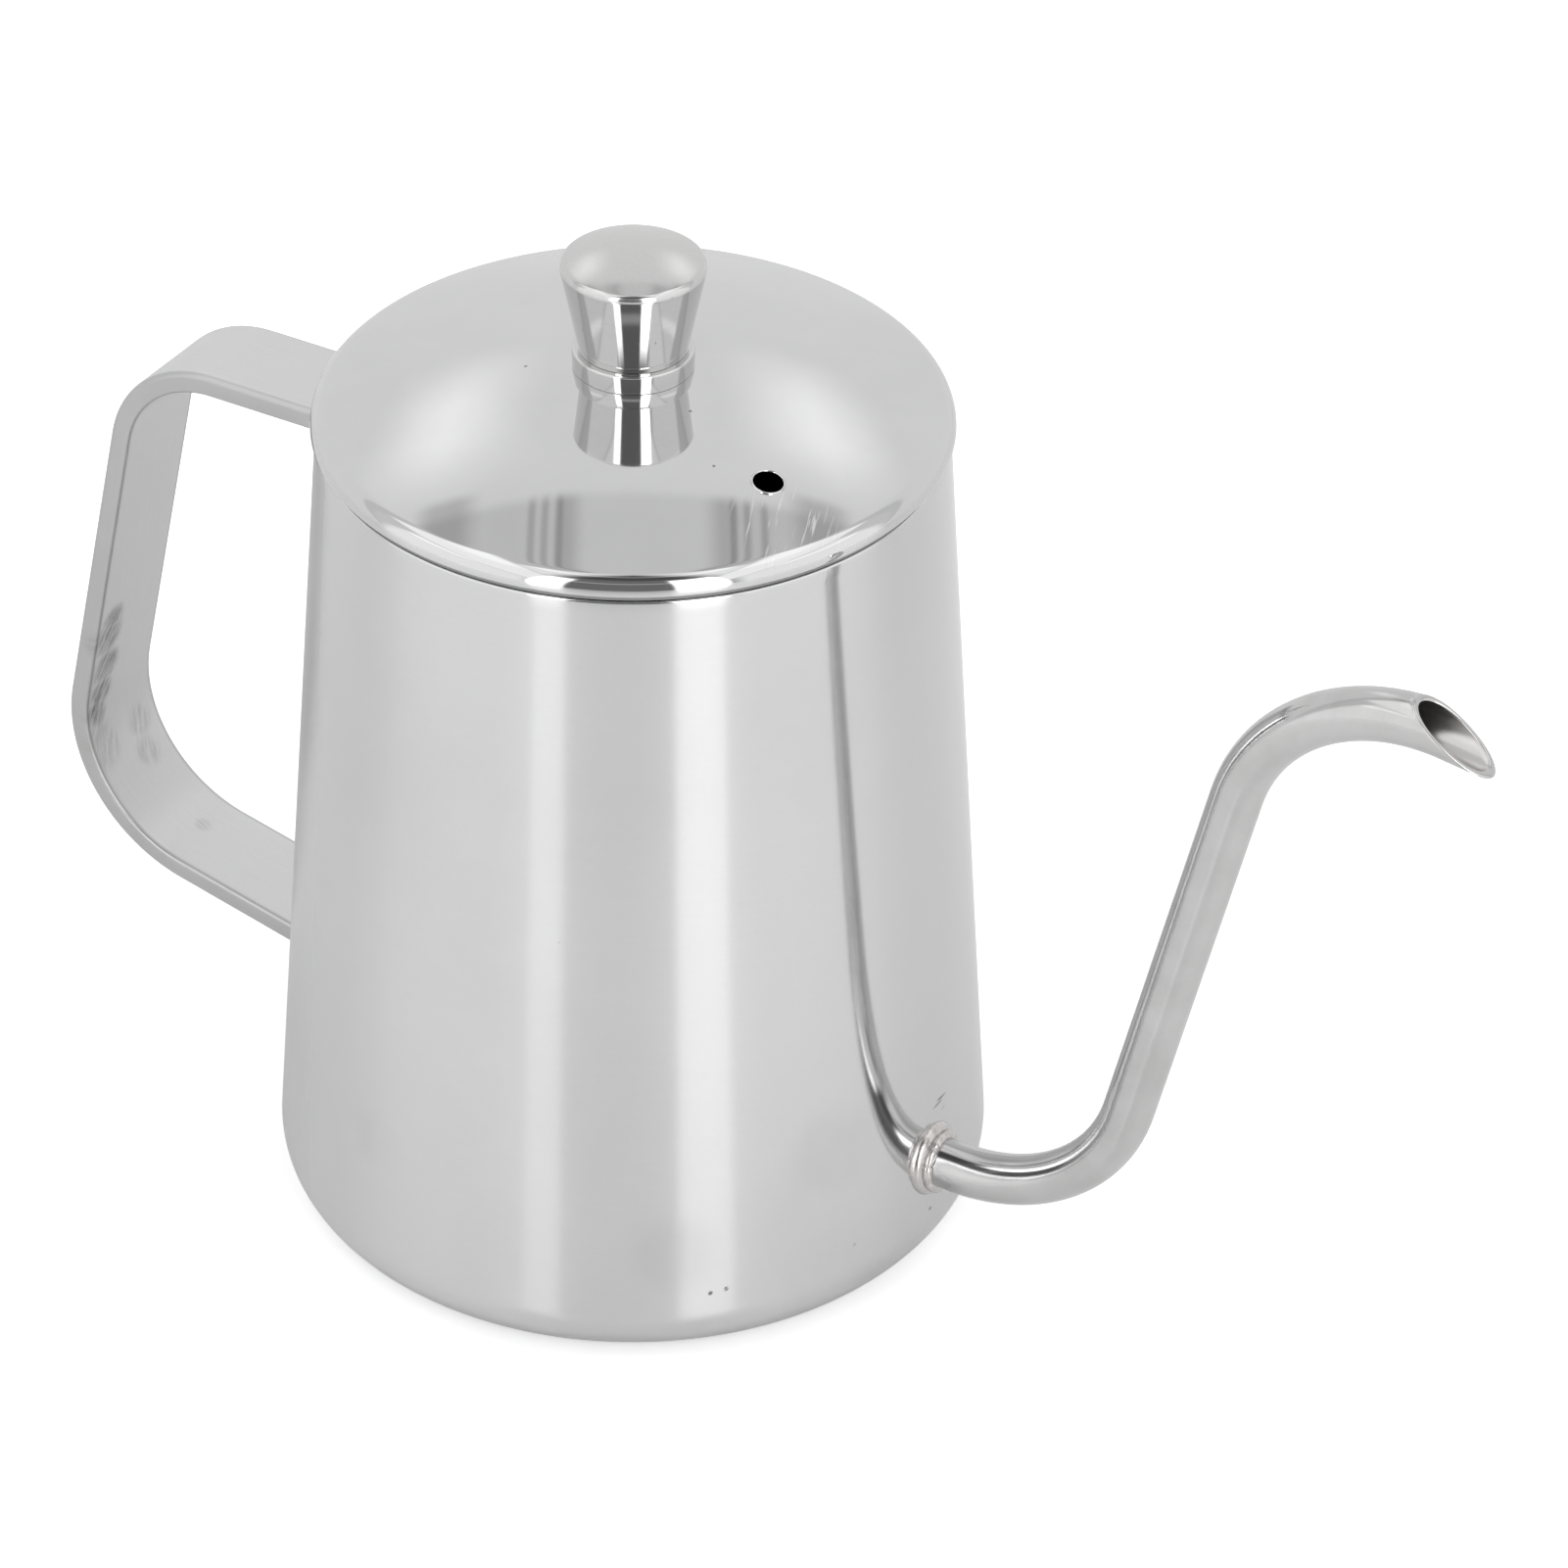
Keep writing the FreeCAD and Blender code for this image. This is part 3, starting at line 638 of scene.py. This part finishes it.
def makeSpout():
    sides = spout["sides"]
    total = sum(length for length, turn in spoutPath()[1])
    tubeLength = total - spout["spare"]
    mouth = tubeLength - spout["lipRun"]
    tip = spoutPoint(tubeLength, math.pi, spout["radius"])
    cut = math.radians(spout["lipCut"])
    cutWay = Vector((math.sin(cut), 0, math.cos(cut)))

    def lipDistance(turn, radius):
        low, high = mouth - spout["lipSearch"], total
        for _ in range(50):
            middle = (low + high) / 2
            if (spoutPoint(middle, turn, radius) - tip).dot(cutWay) < 0:
                low = middle
            else:
                high = middle
        return low

    turns = [2 * math.pi * k / sides for k in range(sides)]
    steady = mouth - spout["lipReach"]  # up to here every ring stands square to the tube
    count = round(steady / spout["step"])

    def wallRings(radius):
        ends = [lipDistance(turn, radius) for turn in turns]
        rings = [[steady * k / count] * sides for k in range(count)]
        for k in range(spout["lipRows"] + 1):
            rings.append([steady + (end - steady) * k / spout["lipRows"] for end in ends])
        return [([spoutPoint(far, turn, radius) for far, turn in zip(ring, turns)], ring) for ring in rings]

    outer = wallRings(spout["radius"])
    inner = wallRings(spout["radius"] - spout["wall"])
    lip = []
    for k in range(1, spout["lipSteps"]):  # half round from the outer to the inner edge
        swing = math.pi * k / spout["lipSteps"]
        share = (1 + math.cos(swing)) / 2
        bulge = cutWay * spout["lipBulge"] * math.sin(swing)
        lip.append(([a * share + b * (1 - share) + bulge for a, b in zip(outer[-1][0], inner[-1][0])],
                    outer[-1][1]))
    verts, along, bore = [], [], []
    for rings, inside in ((outer, 0.0), (lip, 0.0), (inner[::-1], 1.0)):
        for points, ring in rings:
            verts.extend(point * mm for point in points)
            along.extend(far * mm for far in ring)
            bore.extend([inside] * sides)
    rows = len(verts) // sides
    around = [k / sides for k in range(sides)] * rows
    faces = []
    for row in range(rows):
        here, following = row * sides, (row + 1) % rows * sides
        for k in range(sides):
            beside = (k + 1) % sides
            faces.append((here + k, here + beside, following + beside, following + k))
    mesh = bpy.data.meshes.new("spoutPiece")
    mesh.from_pydata(verts, [], faces)
    for name, values in (("along", along), ("around", around), ("bore", bore)):
        mesh.attributes.new(name, "FLOAT", "POINT").data.foreach_set("value", values)
    tidy(mesh, 40, 1e-8)
    place("spoutPiece", mesh, "kettle", "spout_tube", finish["tube"])
    print("spout:", len(mesh.polygons), "faces, tube", round(tubeLength), "mm long")


makeSpout()


# bars and beads that follow a path
def sweepTree():
    graph, wires = newTree("barOnPath", {"Section": "Object", "Finish": "Material"})
    path = graph.add("GeometryNodeMeshToCurve", None, {"Mesh": wires["Geometry"]})
    length = graph.add("GeometryNodeSplineParameter", None, None, "Length")
    path = graph.add("GeometryNodeStoreNamedAttribute", {"data_type": "FLOAT", "domain": "POINT"},
                     {"Geometry": path, "Name": "along", "Value": length})
    shape = graph.add("GeometryNodeObjectInfo", None, {"Object": wires["Section"]}, "Geometry")
    section = graph.add("GeometryNodeMeshToCurve", None, {"Mesh": shape})
    skin = graph.add("GeometryNodeCurveToMesh", None,
                     {"Curve": path, "Profile Curve": section, "Fill Caps": True})
    return endTree(graph, skin, wires["Finish"])


beadShape = dict(sides=20, lumps=420.0, fullness=0.6)


def beadTree():
    graph, wires = newTree("weldBead", {"Bead radius": "Float", "Drops": "Float", "Ripple": "Float",
                                        "Uneven": "Float", "Seed": "Float", "Finish": "Material"})
    path = graph.add("GeometryNodeMeshToCurve", None, {"Mesh": wires["Geometry"]})
    factor = graph.add("GeometryNodeSplineParameter", None, None, "Factor")
    drop = graph.maths("FRACT", factor * wires["Drops"])
    swell = (drop * (1 - drop) * 4) ** beadShape["fullness"]
    where = graph.add("GeometryNodeInputPosition")
    wobble = graph.add("ShaderNodeTexNoise", {"noise_dimensions": "4D"},
                       {"Vector": where, "W": wires["Seed"], "Scale": beadShape["lumps"]})
    size = 1 - wires["Ripple"] + wires["Ripple"] * swell + (wobble - 0.5) * wires["Uneven"]
    section = graph.add("GeometryNodeCurvePrimitiveCircle", None,
                        {"Resolution": beadShape["sides"], "Radius": wires["Bead radius"]})
    skin = graph.add("GeometryNodeCurveToMesh", None,
                     {"Curve": path, "Profile Curve": section, "Scale": size})
    return endTree(graph, skin, wires["Finish"])


barOnPath = sweepTree()
weldBead = beadTree()


def bead(points, look, seed, material):
    guide = lineObject("beadGuide", points, True)
    return bake(guide, weldBead, {
        "Bead radius": look["thick"] * mm, "Drops": look["drops"], "Ripple": look["ripple"],
        "Uneven": look["uneven"], "Seed": seed, "Finish": material})


def barSection(width, thick, roundOut, roundIn, row, outSteps, inSteps):
    w, t = width / 2, thick / 2
    o, i = roundOut, roundIn
    return outline(stretch((-w + o, -t), (w - o, -t), row), arc(w - o, -t + o, o, -90, 0, outSteps),
                   arc(w - i, t - i, i, 0, 90, inSteps), stretch((w - i, t), (-w + i, t), row),
                   arc(-w + i, t - i, i, 90, 180, inSteps), arc(-w + o, -t + o, o, 180, 270, outSteps))


# handle: flat bar with two bends; both runs point at the pot, and sink is how far its ends enter the wall
strap = dict(width=15.0, thick=3.0, roundOut=0.8, roundIn=0.45, topZ=106.65, topX=-75.65, lowZ=26.8,
             lowX=-91.8, topRise=1.4, lowFall=11.25, bendTop=17.4, bendLow=22.0, sink=0.4, row=1.0,
             outSteps=8, inSteps=6, bendSteps=30, runSteps=12, gripSteps=24, endReach=0.05)
topRise, lowFall = math.radians(strap["topRise"]), math.radians(strap["lowFall"])
runTop = Vector((math.cos(topRise), 0, math.sin(topRise)))
runLow = Vector((math.cos(lowFall), 0, -math.sin(lowFall)))


def ontoWall(point, run, depth):
    for _ in range(40):
        point = point + run * (math.hypot(point.x, point.y) - wallRadius(point.z, depth)) * 0.8
    return point


def between(first, last, count):
    return [first + (last - first) * k / count for k in range(count + 1)]


def bendPoints(corner, back, ahead, radius):
    turn = math.pi - back.angle(ahead)
    setBack = radius * math.tan(turn / 2)
    centre = corner + (back + ahead).normalized() * radius / math.cos(turn / 2)
    first = corner + back * setBack - centre
    last = corner + ahead * setBack - centre
    inset = 1 - strap["thick"] / 2 / radius  # from the outer face to the middle of the bar
    points = []
    for k in range(strap["bendSteps"] + 1):
        f = k / strap["bendSteps"]
        spoke = (first * math.sin((1 - f) * turn) + last * math.sin(f * turn)) / math.sin(turn)
        points.append(centre + spoke * inset)
    return points


def strapCentre():
    half = strap["thick"] / 2
    top = Vector((strap["topX"], 0, strap["topZ"]))
    low = Vector((strap["lowX"], 0, strap["lowZ"]))
    down = (low - top).normalized()
    first = ontoWall(top + Vector((math.sin(topRise), 0, -math.cos(topRise))) * half, runTop, strap["sink"])
    last = ontoWall(low + Vector((math.sin(lowFall), 0, math.cos(lowFall))) * half, runLow, strap["sink"])
    upper = bendPoints(top, runTop, down, strap["bendTop"])
    lower = bendPoints(low, -down, runLow, strap["bendLow"])
    return (between(first, upper[0], strap["runSteps"])[:-1] + upper
            + between(upper[-1], lower[0], strap["gripSteps"])[1:-1] + lower
            + between(lower[-1], last, strap["runSteps"])[1:])


def makeHandle():
    centre = strapCentre()
    section = barSection(*(strap[key] for key in (
        "width", "thick", "roundOut", "roundIn", "row", "outSteps", "inSteps")))
    shape = lineObject("strapSection", [(x * mm, y * mm, 0) for x, y in section], True)
    guide = lineObject("strapPath", [point * mm for point in centre], False)
    mesh = bake(guide, barOnPath, {"Section": shape, "Finish": finish["strap"]})
    bpy.data.objects.remove(shape)
    for vertex in mesh.vertices:  # bring both ends onto the curved wall
        point = vertex.co / mm
        for end, run in ((centre[0], runTop), (centre[-1], runLow)):
            if abs((point - end).dot(run)) < strap["endReach"]:
                vertex.co = ontoWall(point, run, strap["sink"]) * mm
    tidy(mesh, 40)
    place("handlePiece", mesh, "kettle", "handle_strap", finish["strap"])
    print("handle:", len(mesh.polygons), "faces")
    return centre


strapLine = makeHandle()


# weld beads: a flange and a lumpy crest at the spout's root, and a bead round each end of the strap
spoutBeads = [dict(ring=3.85, out=-0.25, thick=1.3, drops=5.0, ripple=0.02, uneven=0.08, seed=1.0),
              dict(ring=3.55, out=1.3, thick=0.8, drops=9.0, ripple=0.16, uneven=0.75, seed=2.0)]
strapBead = dict(thick=0.55, drops=46.0, ripple=0.2, uneven=0.2, offset=0.1, corner=0.8, row=0.3,
                 cornerSteps=5, seedTop=3.0, seedLow=4.0)
weldMesh = dict(steps=180, angle=50)


def rootRing(radius, out):
    points = []
    for k in range(weldMesh["steps"]):
        swing = 2 * math.pi * k / weldMesh["steps"]
        y, z = radius * math.cos(swing), spout["height"] + radius * math.sin(swing)
        points.append(Vector((math.sqrt(wallRadius(z) ** 2 - y * y) + out, y, z)) * mm)
    return points


def strapRing(end, run):
    grow, corner, steps = 2 * strapBead["offset"], strapBead["corner"], strapBead["cornerSteps"]
    loop = barSection(strap["width"] + grow, strap["thick"] + grow, corner, corner,
                      strapBead["row"], steps, steps)
    across = Vector((0, 1, 0))
    up = across.cross(run).normalized()
    return [ontoWall(end + across * y + up * v, run, 0.0) * mm for y, v in loop]


def makeWelds():
    beads = [bead(rootRing(look["ring"], look["out"]), look, look["seed"], finish["weld"])
             for look in spoutBeads]
    joined = tidy(joinMeshes("spoutWeldPiece", beads), weldMesh["angle"])
    place("spoutWeldPiece", joined, "kettle", "spout_weld", finish["weld"])
    for name, end, run, node, seed in (
            ("handleWeldTop", strapLine[0], runTop, "handle_weld_upper", strapBead["seedTop"]),
            ("handleWeldLow", strapLine[-1], runLow, "handle_weld_lower", strapBead["seedLow"])):
        mesh = tidy(bead(strapRing(end, run), strapBead, seed, finish["weld"]), weldMesh["angle"])
        place(name, mesh, "kettle", node, finish["weld"])
    print("welds: spout root and both strap ends")


makeWelds()


# lid: domed sheet turned down at the edge, with a hem over the rim and a skirt ring below
lid = dict(overhang=0.62, dome=130.0, edgeRound=2.6, lipRise=1.0, lipHeight=0.25, hemInset=0.6, hemWidth=1.0,
           hemGap=0.2, wall=0.8, soft=0.15, seatRadius=7.9, hole=2.05, seatRow=2.0, segments=320,
           steps=dict(dome=60, edge=44, lip=6, hem=5, inner=12, under=30),
           vent=2.0, ventReach=29.0, ventTurn=-21.9, ventDrill=6.0)
ventBrim = dict(thick=0.17, drops=1.0, ripple=0.0, uneven=0.0, seed=0.0, out=0.6, steps=96)
skirt = dict(gap=0.35, wall=0.7, depth=8.0, soft=0.3, softSteps=5, segments=256)
lidEdge = wallRadius(pot["rimHeight"]) + lid["overhang"]
lipLow = pot["rimHeight"] + lid["lipRise"]
edgeX, edgeZ = lidEdge - lid["edgeRound"], lipLow + lid["lipHeight"]
domeSlope = math.asin(edgeX / (lid["dome"] - lid["edgeRound"]))
domeZ = edgeZ - (lid["dome"] - lid["edgeRound"]) * math.cos(domeSlope)
seatZ = domeZ + math.sqrt(lid["dome"] ** 2 - lid["seatRadius"] ** 2)
hemOut = lidEdge - lid["hemInset"]
hemIn = hemOut - lid["hemWidth"]


def lidProfile():
    dome, bend, wall, soft, steps = [lid[key] for key in ("dome", "edgeRound", "wall", "soft", "steps")]
    edgeTurn = 90 - math.degrees(domeSlope)
    seatTurn = 90 - math.degrees(math.asin(lid["seatRadius"] / dome))
    underX = math.sqrt((dome - wall) ** 2 - (seatZ - wall - domeZ) ** 2)
    underTurn = 90 - math.degrees(math.asin(underX / (dome - wall)))
    hemTurn = math.degrees(math.acos((hemIn - edgeX) / (bend - wall)))
    hemLow = pot["rimHeight"] + lid["hemGap"]
    return outline(
        stretch((lid["hole"], seatZ), (lid["seatRadius"], seatZ), lid["seatRow"]),
        arc(0, domeZ, dome, seatTurn, edgeTurn, steps["dome"]),
        arc(edgeX, edgeZ, bend, edgeTurn, 0, steps["edge"]),
        arc(lidEdge - soft, lipLow + soft, soft, 0, -90, steps["lip"]), [(hemOut, lipLow)],
        arc(hemOut - soft, hemLow + soft, soft, 0, -90, steps["hem"]),
        arc(hemIn + soft, hemLow + soft, soft, -90, -180, steps["hem"]),
        arc(edgeX, edgeZ, bend - wall, hemTurn, edgeTurn, steps["inner"]),
        arc(0, domeZ, dome - wall, edgeTurn, underTurn, steps["under"]),
        stretch((underX, seatZ - wall), (lid["hole"], seatZ - wall), lid["seatRow"]))


def makeLid():
    mesh = turned("lidPiece", lidProfile(), lid["segments"], finish["lid"])
    turn, tilt = math.radians(lid["ventTurn"]), math.asin(lid["ventReach"] / lid["dome"])
    upright = Vector((math.sin(tilt) * math.cos(turn), math.sin(tilt) * math.sin(turn), math.cos(tilt)))
    vent = (upright * lid["dome"] + Vector((0, 0, domeZ))) * mm
    reach = Vector((0, 0, lid["ventDrill"] * mm))
    mesh = tidy(drill(mesh, vent - reach, vent + reach, lid["vent"] * mm))
    slant = upright.to_track_quat("Z", "Y").to_matrix()
    radius = (lid["vent"] + ventBrim["thick"] * ventBrim["out"]) * mm
    swings = [2 * math.pi * k / ventBrim["steps"] for k in range(ventBrim["steps"])]
    ring = [vent + slant @ Vector((radius * math.cos(swing), radius * math.sin(swing), 0))
            for swing in swings]
    brim = bead(ring, ventBrim, ventBrim["seed"], finish["lid"])
    mesh = tidy(joinMeshes("lidPiece", [mesh, brim]), merge=1e-9)
    place("lidPiece", mesh, "lid", "lid_dome", finish["lid"])
    outer = hemIn - skirt["gap"]
    inner, low = outer - skirt["wall"], pot["rimHeight"] - skirt["depth"]
    soft, steps = skirt["soft"], skirt["softSteps"]
    bandProfile = outline(arc(outer - soft, low + soft, soft, -90, 0, steps),
                          [(outer, edgeZ), (inner, edgeZ)],
                          arc(inner + soft, low + soft, soft, 180, 270, steps))
    band = turned("lidSkirtPiece", bandProfile, skirt["segments"], finish["lid"])
    place("lidSkirtPiece", band, "lid_ring", "lid_skirt", finish["lid"])
    print("lid: seat at", round(seatZ, 2), "mm, edge radius", round(lidEdge, 2), "mm")


makeLid()


# knob: turned cone with a crowned top, on a collar
knob = dict(collar=7.9, collarHeight=2.6, collarRound=0.3, collarFoot=0.15, foot=7.05, footRound=0.18,
            top=9.4, rise=14.0, edge=1.0, crown=30.0, hole=2.05, depth=8.0, edgeSteps=16, crownSteps=24,
            segments=192)


# a point with a third value has its corner rounded off by that length
def rounded(points, steps=4):
    result = []
    for k, point in enumerate(points):
        here = Vector(point[:2])
        if len(point) == 2:
            result.append(tuple(here))
            continue
        back = Vector(points[k - 1][:2]) - here
        ahead = Vector(points[k + 1][:2]) - here
        cut = min(point[2], back.length * 0.45, ahead.length * 0.45)
        first = here + back.normalized() * cut
        last = here + ahead.normalized() * cut
        for j in range(steps + 1):
            f = j / steps
            result.append(tuple(first * (1 - f) ** 2 + here * 2 * f * (1 - f) + last * f ** 2))
    return result


def makeKnob():
    hole, edge, crown = knob["hole"], knob["edge"], knob["crown"]
    collarTop = seatZ + knob["collarHeight"]
    capTop = collarTop + knob["rise"]
    capX = knob["top"] - edge
    slope = math.asin(capX / (crown - edge))
    capZ = capTop - crown + (crown - edge) * math.cos(slope)
    flare = 0.2
    for _ in range(20):  # the cone meets the rounded edge without a corner
        flare = math.atan2(capX + edge * math.cos(flare) - knob["foot"],
                           capZ - edge * math.sin(flare) - collarTop)
    crownTurn = 90 - math.degrees(slope)
    cap = arc(capX, capZ, edge, -math.degrees(flare), crownTurn, knob["edgeSteps"])
    cap += arc(0, capTop - crown, crown, crownTurn, 90, knob["crownSteps"])
    side = rounded([(hole, collarTop), (knob["foot"], collarTop, knob["footRound"]), cap[0]])
    boreTop = collarTop + knob["depth"]
    profile = outline([(0, boreTop), (hole, boreTop)], side, cap)
    mesh = turned("knobPiece", profile, knob["segments"], finish["knob"], closed=False)
    place("knobPiece", mesh, "lid", "knob", finish["knob"])
    ringProfile = rounded([(hole, seatZ), (knob["collar"], seatZ, knob["collarFoot"]),
                           (knob["collar"], collarTop, knob["collarRound"]), (hole, collarTop)])
    ring = turned("collarPiece", ringProfile, knob["segments"], finish["knob"])
    place("collarPiece", ring, "lid", "knob_collar", finish["knob"])
    print("knob: top at", round(capTop, 2), "mm")


makeKnob()

for nodeName in ("knob_washer", "knob_screw"):
    nodeMesh = frame["nodes"][nodeName].data
    nodeMesh.materials.clear()
    nodeMesh.materials.append(finish["screw"])


# studio: pale floor, and a light tent as the world with two soft boxes beside the camera
studio = dict(turn=57.5, box=1.42, boxLow=1.25, room=0.2, back=0.9, top=0.78, side=0.72, wall=1.15, glow=0.35,
              panel=4.2, rail=0.36, floor=0.92, floorShade=0.805, floorFade=(-0.06, 0.12), floorHalf=4.0,
              floorDrop=0.0002, haze=0.45, coat=0.8, gloss=0.14, lift=0.4)
view = dict(distance=0.960, rise=34.94, lookAt=0.058, focal=7369.6, axisX=646.7, axisY=815.8, frame=1601,
            sensor=36.0)
turn = math.radians(studio["turn"])
frontWay = Vector((math.cos(turn), -math.sin(turn), 0))  # from the pot towards the camera, level
rightWay = Vector((math.sin(turn), math.cos(turn), 0))


def makeFloor():
    far = studio["floorHalf"]
    mesh = bpy.data.meshes.new("floor")
    mesh.from_pydata([(-far, -far, 0), (far, -far, 0), (far, far, 0), (-far, far, 0)], [], [(0, 1, 2, 3)])
    floor = newObject("floor", mesh)
    floor.location.z = -studio["floorDrop"]
    material = bpy.data.materials.new("paleFloor")
    graph = emptyGraph(material)
    nearTone, shadedTone = [(studio[key],) * 3 for key in ("floor", "floorShade")]
    matt = graph.add("ShaderNodeBsdfDiffuse", None, {"Color": (*nearTone, 1.0)})
    lift = graph.add("ShaderNodeEmission", None, {"Color": (1, 1, 1, 1), "Strength": studio["lift"]})
    seen = graph.add("ShaderNodeAddShader", None, {0: matt, 1: lift})
    x, y = graph.split(graph.coordinates("Object"))[:2]
    # painted shade: the floor the kettle mirrors is darker away from the camera side
    front = (x * frontWay.x + y * frontWay.y).ramp(*studio["floorFade"])
    sheet = graph.add("ShaderNodeBsdfPrincipled", None, {  # what the kettle mirrors, with painted shade: darker behind and beside the kettle than in front
        "Base Color": graph.mix(front, shadedTone, nearTone), "Roughness": studio["haze"],
        "Coat Weight": studio["coat"], "Coat Roughness": studio["gloss"]})
    camera = graph.add("ShaderNodeLightPath", None, None, "Is Camera Ray")
    either = graph.add("ShaderNodeMixShader", None, {0: camera, 1: sheet, 2: seen})
    graph.add("ShaderNodeOutputMaterial", None, {"Surface": either})
    mesh.materials.append(material)


# planes through the kettle are slopes of side or front against height; frames are lines on the ceiling
tent = dict(inner=(0.36, 0.22), rear=0.45, lowRight=(1.15, 0.31), lowLeft=(1.0, 0.26), gapRight=0.255,
            gapLeft=0.43, behind=0.05, ceiling=0.66, beside=0.19, flank=0.66,
            frames=(-0.181, -0.157, -0.131, 0.179, 0.204, 0.236), frameHalf=0.009, frameShade=0.38,
            drapes=((-0.13, -0.10, 0.02), (0.14, 0.18, 0.025)), drapeShade=0.3,
            wedge=(0.3, 0.4, 0.03), wedgeAhead=(-0.74, -0.52, 0.03), wedgeShade=0.3,
            glow=(0.28, 0.48, 0.12), glowStart=(-2.2, -1.2), glowEnd=(-1.12, -0.68),
            panelLeft=(-0.70, -0.43, 0.03), panelRight=(0.255, 0.62, 0.03), leftShare=0.75,
            panelTop=(0.66, 0.82), rails=((0.575, 0.625, 0.015), (0.957, 0.973, 0.006)),
            dim=0.55, dimHeight=(0.78, 0.88), boxHeight=(0.84, 0.9))


def makeWorld():
    world = bpy.data.worlds.new("tent")
    bpy.context.scene.world = world
    graph = emptyGraph(world)
    x, y, z = graph.split(graph.coordinates("Generated"))
    front = x * frontWay.x + y * frontWay.y
    side = x * rightWay.x + y * rightWay.y
    away = abs(side)
    right = side.ramp(-0.01, 0.01)
    left = 1 - right
    # soft boxes: inside their inner, rear and lower edges
    inner = (away - z * tent["inner"][0] - front * tent["inner"][1]).ramp(-0.02, 0.03)
    rear = (front + z * tent["rear"]).ramp(-0.03, 0.03)
    low = right * (z - away * tent["lowRight"][0] + front * tent["lowRight"][1])
    low = low + left * (z - away * tent["lowLeft"][0] + front * tent["lowLeft"][1])
    gap = right * (away - front * tent["gapRight"]) + left * (away - front * tent["gapLeft"])
    box = inner * rear * low.ramp(-0.05, 0.05) * gap.ramp(-0.02, 0.02)
    # back wall and ceiling, with the frames and drapes that the lid mirrors
    over, ahead, spread = side / z, front / z, away / z
    behind = 1 - (front + z * tent["behind"]).ramp(-0.05, 0.05)
    ceiling = (front + z * tent["ceiling"]).ramp(-0.03, 0.02) * behind
    beside = ceiling * (away - z * tent["beside"]).ramp(-0.01, 0.02) * (1 - inner * rear)
    frames = sum((over.line(spot, tent["frameHalf"]) for spot in tent["frames"]), start=0)
    drapes = sum((over.band(*drape) for drape in tent["drapes"]), start=0)
    shade = drapes * tent["drapeShade"] + frames * tent["frameShade"]
    wedge = spread.band(*tent["wedge"]) * ahead.band(*tent["wedgeAhead"])
    glow = behind * spread.band(*tent["glow"])
    glow = glow * ahead.ramp(*tent["glowStart"]) * (1 - ahead.ramp(*tent["glowEnd"]))
    flank = (1 - behind) * (1 - box) * (away - front * tent["flank"]).ramp(-0.1, 0.12)
    # upright panels beside the camera, and rails across the gap between them
    level = side / front
    panel = level.band(*tent["panelLeft"]) * tent["leftShare"] + level.band(*tent["panelRight"])
    panel = panel * front.ramp(0.0, 0.05) * (1 - z.ramp(*tent["panelTop"]))
    rails = sum((z.band(*rail) for rail in tent["rails"]), start=0) * (1 - behind)
    # all of it added up
    room = studio["room"] * (1 - z.ramp(*tent["dimHeight"]) * tent["dim"])
    light = room + behind * (studio["back"] - room)
    light = light + ceiling * (studio["top"] - studio["back"]) + beside * (studio["side"] - studio["top"])
    light = light * (1 - ceiling * shade) * (1 - behind * wedge * tent["wedgeShade"])
    light = light + flank * (studio["wall"] - room) + glow * studio["glow"] + rails * studio["rail"]
    light = light * (1 - panel) + panel * studio["panel"]
    boxLight = studio["boxLow"] + (studio["box"] - studio["boxLow"]) * z.ramp(*tent["boxHeight"])
    light = graph.larger(light, light * (1 - box) + box * boxLight)
    path = graph.add("ShaderNodeLightPath")
    seen = graph.larger(path.out("Is Camera Ray"), path.out("Is Transmission Ray"))
    strength = seen + (1 - seen) * light
    sky = graph.add("ShaderNodeBackground", None, {"Color": (1, 1, 1, 1), "Strength": strength})
    graph.add("ShaderNodeOutputWorld", None, {"Surface": sky})


def makeCamera():
    rise = math.radians(view["rise"])
    target = Vector((0, 0, view["lookAt"]))
    spot = target + (frontWay * math.cos(rise) + Vector((0, 0, math.sin(rise)))) * view["distance"]
    ahead = (target - spot).normalized()
    up = rightWay.cross(ahead).normalized()
    middle = view["frame"] / 2
    shift = rightWay * (middle - view["axisX"]) + up * (view["axisY"] - middle)
    aim = (ahead + shift / view["focal"]).normalized()
    right = (rightWay - aim * rightWay.dot(aim)).normalized()
    lens = bpy.data.cameras.new("camera")
    lens.sensor_width = view["sensor"]
    lens.lens = view["sensor"] * view["focal"] / view["frame"]
    camera = newObject("camera", lens)
    camera.matrix_world = Matrix((right, right.cross(aim), -aim)).transposed().to_4x4()
    camera.location = spot
    bpy.context.scene.camera = camera


makeFloor()
makeWorld()
makeCamera()
bpy.context.scene.view_settings.view_transform = "Standard"
print("studio: floor, tent with two soft boxes, camera")
